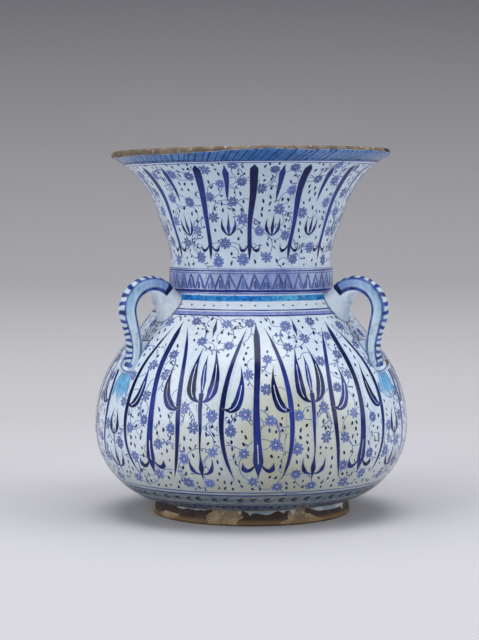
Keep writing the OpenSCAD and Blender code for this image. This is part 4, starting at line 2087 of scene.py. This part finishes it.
    def section(self, share: float, pinch: float, length: float) -> tuple[Floats, Floats, Floats]:
        """One strap section.

        Args:
            share: Share of the leg's taper towards the curl.
            pinch: Share of the curl's taper towards its tip.
            length: Length from the root.

        Returns:
            Points out of the middle line and round the lamp, then for each point its place across the
            outer face (beyond 1 off it) and down the side (0 on the outer face, 1 at the strap's inner
            edge, more on the gusset, 9 on the inner face).
        """
        off_outside, inside = 2.0, 9.0
        t = mix(mix(self.strap_t, self.curl_t, share), self.tip_t, pinch)
        half = mix(mix(self.strap_w, self.curl_w, share ** 3), self.tip_w, pinch) / 2.0
        inner = t / 2.0 + self.gusset * max(0.0, 1.0 - length / self.gusset_l) ** 2
        crown, chamfer = mix(self.strap_crown, self.curl_crown, share), t / 6.0
        k = np.linspace(1.0, -1.0, self.crown_points)
        v = np.linspace(0.0, 1.0, self.side_points + 1)[1:]
        back = np.linspace(-1.0, 1.0, self.back_points)
        side = mix(t / 2.0, chamfer - inner, v)
        points = np.vstack([
            np.column_stack([t / 2.0 + crown * (1.0 - k ** 2), k * half]),
            np.column_stack([side, np.full(len(v), -half)]),
            np.column_stack([np.full(len(back), -inner), back * (half - chamfer)]),
            np.column_stack([side[::-1], np.full(len(v), half)])])
        for _ in range(2):
            points = 0.25 * np.roll(points, 1, axis=0) + 0.5 * points + 0.25 * np.roll(points, -1, axis=0)
        across = np.concatenate([k, np.full(len(points) - len(k), off_outside)])
        own = v * (t / 2.0 - chamfer + inner) / (t - chamfer)
        down = np.concatenate([np.zeros(len(k)), own, np.full(len(back), inside), own[::-1]])
        return points, across, down

    def brushwork(self, across: Floats, down: Floats, length: float, end: float) -> tuple[Floats, Floats]:
        """Ink and pigment round one section: bars on the ridge, an outline along each edge, pale sides.

        Args:
            across: Place of each point across the outer face.
            down: Place of each point down the side.
            length: Length from the root.
            end: Whole length of the strap.

        Returns:
            Ink and pigment of each point.
        """
        hues = (Hue.COBALT, Hue.BAR, Hue.MIST, Hue.STRAP, Hue.CELADON, Hue.AQUA)
        cobalt, bars, mist, deep, leg, aqua = (np.array(hue.value) for hue in hues)
        far = length / end
        on_ridge = np.abs(across) <= self.ridge
        on_strap = down <= self.strap_edge
        bluer = np.clip(1.15 - 2.3 * far - 0.25 * np.minimum(down, 1.0), 0.0, 1.0)[:, None]
        side = leg * (1.0 - bluer) + deep * bluer
        tint = 0.50 * math.exp(-((far - 0.36) / 0.13) ** 2)
        side = side + (aqua - side) * (tint * np.clip(1.0 - 1.5 * down, 0.0, 1.0))[:, None]
        colour = np.where(on_ridge[:, None], mist, side)
        ink = np.where(on_ridge, 0.30, np.where(on_strap, 1.0, 0.16))
        phase = (length / self.bar_pitch + 0.10 * np.sin(3.0 * across + 0.4 * length)) % 1.0
        bar = np.clip((0.30 - np.abs(phase - 0.5)) * 8.0, 0.0, 1.0) * on_ridge
        outer = self.outer_line - np.abs(np.abs(across) - self.ridge)
        inner = mix(0.26, 0.16, min(1.0, 1.6 * far)) - np.abs(down - 0.88)
        dark = np.maximum(np.clip(8.0 * np.maximum(outer, inner), 0.0, 1.0), bar)
        stripe = mix(cobalt, bars, 0.5 + 0.5 * math.sin(2.3 * int(length / self.bar_pitch)))
        stripe = stripe * (0.9 + 0.3 * math.sin(0.9 * length))
        colour = colour + (stripe - colour) * dark[:, None]
        ink = np.maximum(ink, dark)
        if length < self.ring_l:
            ink[on_strap] = 1.0
            colour[on_strap] = Hue.DARK.value
        return ink, colour

    def strap(self) -> Piece:
        """Builds the strap.

        Returns:
            The object.
        """
        line, heading, share, pinch, length = self.stations()
        rings, inks, colours = [], [], []
        for here, way, u, v, far in zip(line, heading, share, pinch, length):
            points, across, down = self.section(float(u), float(v), float(far))
            r = here[0] - points[:, 0] * math.sin(way)
            z = here[1] + points[:, 0] * math.cos(way)
            rings.append(self.on_lamp(r, z, points[:, 1]))
            ink, colour = self.brushwork(across, down, float(far), float(length[-1]))
            inks.append(ink)
            colours.append(colour)
        points, ink, colour = np.vstack(rings), np.concatenate(inks), np.vstack(colours)
        eye = np.hypot(points[:, 0] - self.curl_c[0], points[:, 2] - self.curl_c[1]) < self.curl_eye
        ink[eye] = 0.8
        colour[eye] = Hue.LINE.value
        if self.chipped:
            points = self.chip(points, ink, colour)
        return self.piece("strap", points, len(rings[0]), {"ink": ink, "pigment": colour})

    def chip(self, points: Floats, ink: Floats, colour: Floats) -> Floats:
        """Breaks a flake off the curl's outer end and bares the clay there.

        Args:
            points: The strap's points.
            ink: Their ink, changed in place.
            colour: Their pigment, changed in place.

        Returns:
            The points with the flake gone.
        """
        facing = np.array([0.70, -0.60, 0.40])
        facing /= np.linalg.norm(facing)
        spot = np.array([self.curl_c[0] + 2.9, -0.9, self.curl_c[1] + 1.6])
        rough = 0.18 * np.sin(3.1 * points[:, 0]) * np.sin(2.7 * points[:, 2])
        depth = (points - spot) @ facing - rough
        near = np.linalg.norm(points - spot, axis=1) < 1.5 * self.curl_r
        broken = near & (depth > 0.0)
        ink[broken] = 1.0
        colour[broken] = Hue.CLAY.value
        return points - np.where(broken, depth, 0.0)[:, None] * facing

    def root(self) -> Piece:
        """Builds the flared root under the strap.

        Returns:
            The object.
        """
        wall = self.surface.radius_at
        top_l = self.strap_t + self.strap_crown + self.gusset + 2.0 * self.root_margin
        top_w = self.strap_w + 2.0 * self.root_margin
        up = np.array([-self.root_dir[1], self.root_dir[0]])
        top_c = self.arch_start + 0.5 * (self.strap_crown - self.gusset) * up
        lean = math.atan2(float(wall(self.collar_z - 11.0) - wall(self.collar_z - 1.0)), 10.0)
        base_z = self.collar_z - self.slip_gap - 0.5 * self.root_base_l * math.cos(lean)
        base_c = np.array([float(wall(base_z)), base_z])
        slope = np.array([-math.sin(lean), math.cos(lean)])
        a = np.arange(self.root_sides) * TURN / self.root_sides
        rings = []
        for u in np.linspace(0.0, 1.0, self.root_steps + 1):
            half_l = mix(top_l, self.root_base_l, (1.0 - u) ** 2) / 2.0
            half_w = mix(top_w, self.root_base_w, (1.0 - u) ** 2) / 2.0
            q = mix(base_c, top_c, u) + half_l * np.cos(a)[:, None] * mix(slope, up, u)
            rings.append(self.on_lamp(q[:, 0], q[:, 1], half_w * np.sin(a)))
        base = rings[0]
        seats = []
        for share in (0.05, 0.35, 0.7):
            z = mix(base_z, base[:, 2], share)
            seats.append(self.on_lamp(np.zeros(self.root_sides), z, base[:, 1] * share))
        return self.piece("root", np.vstack(seats + rings), self.root_sides)

    def wad(self) -> Piece:
        """Builds the wad of clay between the leg and the shoulder.

        Returns:
            The object.
        """
        n = self.wad_points
        line = bezier(*self.leg, self.wad_samples)
        along = headings(line)
        shares = np.linspace(0.0, 1.0, self.wad_samples)
        thick = mix(self.strap_t, self.curl_t, shares)[:, None] / 2.0 + self.slip_gap
        back = line - thick * np.column_stack([-along[:, 1], along[:, 0]])
        gap = back[:, 0] - self.surface.radius_at(back[:, 1]) - self.slip_gap
        open_side = back[(gap > self.wad_least) & (back[:, 1] > self.landing_z)]
        low = open_side[:, 1].min()
        edges = open_side[open_side[:, 1] < low + self.wad_rise]
        half = self.strap_w / 2.0 - self.wad_inset
        w = np.linspace(-1.0, 1.0, n) * half
        flanks = [0, 1, n - 2, n - 1, n, n + 1, 2 * n + 1]
        rings, colours = [], []
        for r, z in edges[::2]:
            inside = self.on_lamp(np.zeros(n), np.full(n, z), w)
            swell = r - self.wad_swell * (1.0 - (w[::-1] / half) ** 8)
            outside = np.column_stack([swell, w[::-1], np.full(n, z)])
            near, far = mix(inside[-1], outside[0], 0.3), mix(outside[-1], inside[0], 0.7)
            rings.append(np.vstack([inside, near, outside, far]))
            colour = np.tile(Hue.CELADON.value, (2 * n + 2, 1))
            colour[:n] = Hue.COBALT.value
            if z > low + self.wad_bare * self.wad_rise:
                colour[flanks] = Hue.CLAY.value
            colours.append(colour)
        points, pigment = np.vstack(rings), np.vstack(colours)
        return self.piece("wad", points, 2 * n + 2, {"ink": np.ones(len(points)), "pigment": pigment})

    def build(self, handle: Material, white: Material) -> None:
        """Builds and dresses the handle's three pieces.

        Args:
            handle: The handles' glaze.
            white: The body's glaze.
        """
        carry(self.strap(), Body.LAMP, Slot.HANDLE, handle, f"handle_{self.side}")
        carry(self.root(), Body.LAMP, Slot.WHITE, white, f"handle_root_{self.side}")
        carry(self.wad(), Body.LAMP, Slot.WHITE, white, f"handle_wad_{self.side}")

    def flourish(self, paint: Paint, lines: Paint, chance: random.Random) -> None:
        """Paints the tassel of leaves under the curl and the outline round the root.

        Args:
            paint: Coat of the washes.
            lines: Coat of the lines.
            chance: The hand's irregularity.
        """
        at = paint.anchor(self.turn, self.surface.length(self.landing_z - 2.5))
        for k in range(-4, 5):
            tip_x = 1.7 * k + chance.uniform(-0.9, 0.9)
            tip_y = -17.5 + 0.8 * abs(k) + chance.uniform(-2.0, 3.5)
            path = bezier((0.9 * k, 2.0), (1.7 * k, -5.0), (1.9 * k, -11.0), (tip_x, tip_y), 18)
            hue = Hue.SKY if k % 2 else Hue.AQUA
            width, tone = chance.uniform(1.1, 1.8), chance.uniform(0.9, 1.25)
            paint.leaf(at, path, width, hue, tone, chance.uniform(0.5, 0.75))
            edge = Hue.VIOLET if abs(k) > 2 else Hue.AQUA
            lines.stroke(at, path + (0.9, 0.0), chance.uniform(0.16, 0.30), edge, 0.75, load=0.8)
        around = lines.anchor(self.turn, self.surface.length(self.collar_z - 8.3))
        a = np.linspace(-0.72 * math.pi, 0.72 * math.pi, 60) - 0.5 * math.pi
        oval = circle(a) * (0.5 * self.root_base_w + 0.9, 0.5 * self.root_base_l + 0.7)
        lines.stroke(around, oval, 0.40, Hue.COBALT)


@dataclass
class WickHolder:
    """The brass strip across the cup's mouth, hooked over it, with the wick tube through its middle."""

    tube_wall: float = 1.25
    bore_r: float = 2.05
    strip_t: float = 0.8
    strip_edge: float = 0.22
    strip_gap: float = 0.6
    bend_r: float = 1.1
    tube_l: float = 30.0
    tube_above: float = 5.0
    tube_edge: float = 0.45
    tube_step: float = 3.0
    tube_sides: int = 48
    hook_l: float = 8.0

    def build(self, finish: Material) -> None:
        """Builds and dresses the holder.

        Args:
            finish: The brass.
        """
        _, high = (np.array(corner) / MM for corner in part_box("wick_holder"))
        half_l, half_w, top = high
        points: list[Floats] = []
        faces: list[list[int]] = []
        line = self.strip_line(half_l, top - self.tube_above)
        for side in SIDES:
            rings = self.ribbon(line, half_w)
            rings[:, 0] *= side
            base = sum(map(len, points))
            strip = tube_faces(len(line), len(rings) // len(line))
            faces += [[base + corner for corner in face] for face in strip]
            points.append(rings)
        outer, bottom = self.bore_r + self.tube_wall, top - self.tube_l
        loop = np.array([[self.bore_r, bottom], [outer, bottom], [outer, top], [self.bore_r, top]])
        section = dense_section(softened(loop, self.tube_edge), self.tube_step)
        base = sum(map(len, points))
        points.append(spun(section, self.tube_sides))
        faces += (base + ring_faces(len(section), self.tube_sides, True)).tolist()
        piece = mesh_object("wick_holder_brass", np.vstack(points), faces)
        carry(piece, Body.HOLDER, Slot.BRASS, finish, "wick_holder")

    def strip_line(self, half_l: float, strip_top: float) -> Floats:
        """Draws half of the strip's middle line, from the tube out and down its hook.

        Args:
            half_l: Half the strip's length over its hooks.
            strip_top: Height of its upper face.

        Returns:
            Rows of distance from the axis and height.
        """
        level_z = strip_top - 0.5 * self.strip_t
        reach = half_l - 0.5 * self.strip_t
        soft = 0.4 * self.bend_r
        bend_x, bend_z = reach - self.bend_r, level_z - self.bend_r
        level = np.linspace((self.bore_r + self.strip_gap, level_z), (bend_x, level_z), 16)[:-1]
        pull, push = (reach - soft, level_z), (reach, level_z - soft)
        bend = bezier((bend_x, level_z), pull, push, (reach, bend_z), 9)
        hook = np.linspace((reach, bend_z), (reach, strip_top - self.hook_l), 8)[1:]
        return np.vstack([level, bend, hook])

    def ribbon(self, line: Floats, half_w: float) -> Floats:
        """Sweeps the strip's rounded section along a line in the XZ plane.

        Args:
            line: The strip's middle line.
            half_w: Half its width.

        Returns:
            Twelve points for each row of the line.
        """
        along = headings(line)
        out = np.column_stack([-along[:, 1], along[:, 0]])
        t, e, w = 0.5 * self.strip_t, self.strip_edge, half_w
        upper = ((t, -w + e), (t, -0.3 * w), (t, 0.3 * w), (t, w - e), (t - e, w), (e - t, w))
        rings = []
        for o, y in upper + tuple((-o, -y) for o, y in upper):
            x, z = (line + o * out).T
            rings.append(np.column_stack([x, np.full(len(line), y), z]))
        return np.stack(rings, axis=1).reshape(-1, 3)


@dataclass
class Wick:
    """A wick of three cotton strands twisted together."""

    strands: int = 3
    twist: float = 0.30
    groove: float = 0.42
    char_l: float = 7.0
    fray_l: float = 2.5
    fray_least: float = 0.55
    sides: int = 60
    steps: int = 150

    def build(self, finish: Material) -> None:
        """Builds and dresses the wick.

        Args:
            finish: The cotton.
        """
        low, high = (np.array(corner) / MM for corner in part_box("wick"))
        full, top = high[0], high[2]
        turns = np.arange(self.sides) * TURN / self.sides
        rings, chars = [], []
        for z in np.linspace(low[2], top, self.steps):
            lobe = np.abs(np.cos(0.5 * self.strands * (turns - self.twist * z)))
            fray = np.clip((top - z) / self.fray_l, self.fray_least, 1.0)
            r = (full - self.groove + self.groove * lobe ** 0.7) * fray
            rings.append(np.column_stack([r * np.cos(turns), r * np.sin(turns), np.full(self.sides, z)]))
            char = np.clip((z - top + self.char_l) / self.char_l, 0.0, 1.0)
            chars.append(np.full(self.sides, char))
        piece = mesh_object("wick_strands", np.vstack(rings), tube_faces(len(rings), self.sides),
                            {"char": np.concatenate(chars)}, 60.0)
        carry(face_outwards(piece), Body.WICK, Slot.COTTON, finish, "wick")


@dataclass(frozen=True)
class SweepFinish:
    """Matt studio paper, with painted shade that darkens it from the floor up the wall."""

    name: str = "studio_paper"
    floor: Colour = (0.600, 0.595, 0.622)
    # The bend and wall colours are painted shade: darker up the wall in place of light falling off.
    bend: Colour = (0.378, 0.370, 0.391)
    wall: Colour = (0.136, 0.133, 0.147)
    fleck: Colour = (0.5, 0.5, 0.5)
    bend_z: float = 0.10
    wall_z: float = 0.50
    grain: float = 900.0
    clouds: float = 40.0
    reflection: float = 0.1

    def material(self) -> Material:
        """Builds the finish.

        Returns:
            The material.
        """
        board = NodeBoard(self.name)
        # Painted shade: the paper darkens from floor to bend to wall with height.
        low = board.span(board.height(), 0.0, self.bend_z, smooth=False)
        high = board.span(board.height(), self.bend_z, self.wall_z, smooth=False)
        colour = board.blend(high, board.blend(low, self.floor, self.bend), self.wall)
        grain = board.span(board.noise(self.grain, 2.0), 0.3, 0.7, 0.0, 0.03)
        board.shade("Base Color", board.blend(grain, colour, self.fleck))
        board.shade("Roughness", board.span(board.noise(self.clouds), 0.3, 0.7, 0.85, 0.95))
        board.shade("Specular IOR Level", self.reflection)
        return board.material


@dataclass(frozen=True)
class SoftLamp:
    """A soft lamp that faces the object: its place, the side of its square face and its power in watts."""

    name: str
    place: Colour
    size: float
    power: float

    def hang(self, target: Colour) -> None:
        """Adds the lamp to the scene.

        Args:
            target: The place that it faces.
        """
        light = bpy.data.lights.new(self.name, "AREA")
        light.size = self.size
        light.energy = self.power
        lamp = bpy.data.objects.new(self.name, light)
        lamp.location = self.place
        aim = Vector(target) - Vector(self.place)
        lamp.rotation_euler = aim.to_track_quat("-Z", "Y").to_euler()
        bpy.context.scene.collection.objects.link(lamp)


@dataclass
class Studio:
    """The paper sweep, the soft lamps and the camera, in metres and degrees."""

    distance: float = 1.078
    compass: float = 267.8
    height: float = 0.176
    pitch: float = 3.25
    field_of_view: float = 20.19
    aside: float = -0.0069
    sensor: float = 24.0
    sweep_from: float = 0.55
    sweep_r: float = 1.0
    sweep_steps: int = 40
    reach: float = 4.0
    target: Colour = (0.0, 0.0, 0.11)
    lamps: tuple[SoftLamp, ...] = (
        SoftLamp("key_left", (-1.45, -1.00, 1.00), 1.5, 17.0),
        SoftLamp("key_right", (1.60, -0.65, 0.95), 1.5, 14.8),
        SoftLamp("top", (0.0, 0.0, 1.9), 1.6, 27.5))
    fill: Colour = (0.89, 0.945, 1.0)
    fill_strength: float = 0.27

    def build(self) -> None:
        """Sets up the whole studio."""
        self.sweep()
        for lamp in self.lamps:
            lamp.hang(self.target)
        self.world()
        self.camera()

    def sweep(self) -> None:
        """Makes the floor that curves up into the wall."""
        a = np.linspace(-0.5 * math.pi, 0.0, self.sweep_steps)
        bend = (self.sweep_from, self.sweep_r) + self.sweep_r * circle(a)
        wall_top = (self.sweep_from + self.sweep_r, self.reach)
        line = np.vstack([(-self.reach, 0.0), bend, wall_top]) / MM
        wide = np.array([-self.reach, self.reach]) / MM
        points = np.array([[x, y, z] for y, z in line for x in wide])
        faces = [(2 * i, 2 * i + 1, 2 * i + 3, 2 * i + 2) for i in range(len(line) - 1)]
        paper = mesh_object("studio_sweep", points, faces)
        paper.data.materials.append(SweepFinish().material())
        paper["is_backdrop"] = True

    def world(self) -> None:
        """Fills the shadows with a little cool light."""
        world = bpy.data.worlds.new("studio_fill")
        world.use_nodes = True
        background = world.node_tree.nodes["Background"]
        background.inputs["Color"].default_value = (*self.fill, 1.0)
        background.inputs["Strength"].default_value = self.fill_strength
        bpy.context.scene.world = world

    def camera(self) -> None:
        """Stands the camera where the picture was taken from."""
        data = bpy.data.cameras.new("camera")
        data.sensor_fit = "VERTICAL"
        data.sensor_height = self.sensor
        data.lens = 0.5 * data.sensor_height / math.tan(0.5 * math.radians(self.field_of_view))
        camera = bpy.data.objects.new("camera", data)
        turn = math.radians(self.compass)
        out = np.array([math.cos(turn), math.sin(turn)])
        right = np.array([-out[1], out[0]])
        x, y = self.distance * out + self.aside * right
        camera.location = (x, y, self.height)
        camera.rotation_euler = (math.radians(90.0 - self.pitch), 0.0, turn + 0.5 * math.pi)
        bpy.context.scene.collection.objects.link(camera)
        bpy.context.scene.camera = camera
        bpy.context.scene.view_settings.view_transform = "Standard"


def worn_lip(points: Floats) -> Inks:
    """Returns the wear of the neck's points, by name."""
    return {"wear": lip_wear(np.arctan2(points[:, 1], points[:, 0]), points[:, 2])}


def collar_wash(points: Floats) -> Inks:
    """Violet wash over the collar's outside.

    Args:
        points: The collar's points.

    Returns:
        The ink and pigment by name.
    """
    inner_r = 46.5
    load = 0.41
    turn = np.arctan2(points[:, 1], points[:, 0])
    ink = load + 0.05 * np.sin(4.0 * turn + 0.6) + 0.04 * np.sin(9.0 * turn)
    ink[np.hypot(points[:, 0], points[:, 1]) < inner_r] = 0.0
    return {"ink": ink, "pigment": np.tile(Hue.VIOLET.value, (len(points), 1))}


def main() -> None:
    """Builds the lamp and its studio."""
    logging.basicConfig(level=logging.INFO, format="%(message)s")
    white = PaintedGlaze("white_glaze").material()
    collar_finish = PaintedGlaze("collar_glaze").material()
    handle_finish = PaintedGlaze("handle_glaze").material()

    bowl = Turned("bowl", Slot.WHITE)
    shoulder = Turned("shoulder", Slot.WHITE)
    collar = Turned("collar", Slot.COLLAR)
    neck = Turned("neck", Slot.WHITE)
    surface = Surface([shell.section for shell in (bowl, shoulder, collar, neck)])
    bowl.build(white)
    shoulder.build(white)
    collar.build(collar_finish, collar_wash)
    neck.build(white, worn_lip)
    Turned("foot_ring", Slot.BARE, soft=0.6).build(FootFinish().material())

    handles = [StrapHandle(surface, "left", math.radians(210.0)),
               StrapHandle(surface, "right", math.radians(330.0), chipped=True, outer_line=0.20),
               StrapHandle(surface, "back", math.radians(90.0))]
    tassels = Paint(surface, "handle_tassels", 0.100)
    outlines = Paint(surface, "handle_outlines", 0.125)
    chance = random.Random(7)
    for handle in handles:
        handle.build(handle_finish, white)
        handle.flourish(tassels, outlines, chance)
    tassels.build(Slot.WHITE, white)
    outlines.build(Slot.WHITE, white)

    BellyPainting(surface).paint(white)
    NeckPainting(surface).paint(white)
    Bands(surface).paint(white, collar_finish)

    cup = Turned("oil_cup", Slot.GLASS, soft=0.9, segments=128, body=Body.CUP, settles=False)
    cup.build(Glass().material())
    WickHolder().build(Brass().material())
    Wick().build(Cotton().material())
    Studio().build()

    boxes = {"cad": CAD_BOX, "visual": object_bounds()}
    plain = {name: [[float(v) for v in corner] for corner in box] for name, box in boxes.items()}


if __name__ == "__main__":
    main()
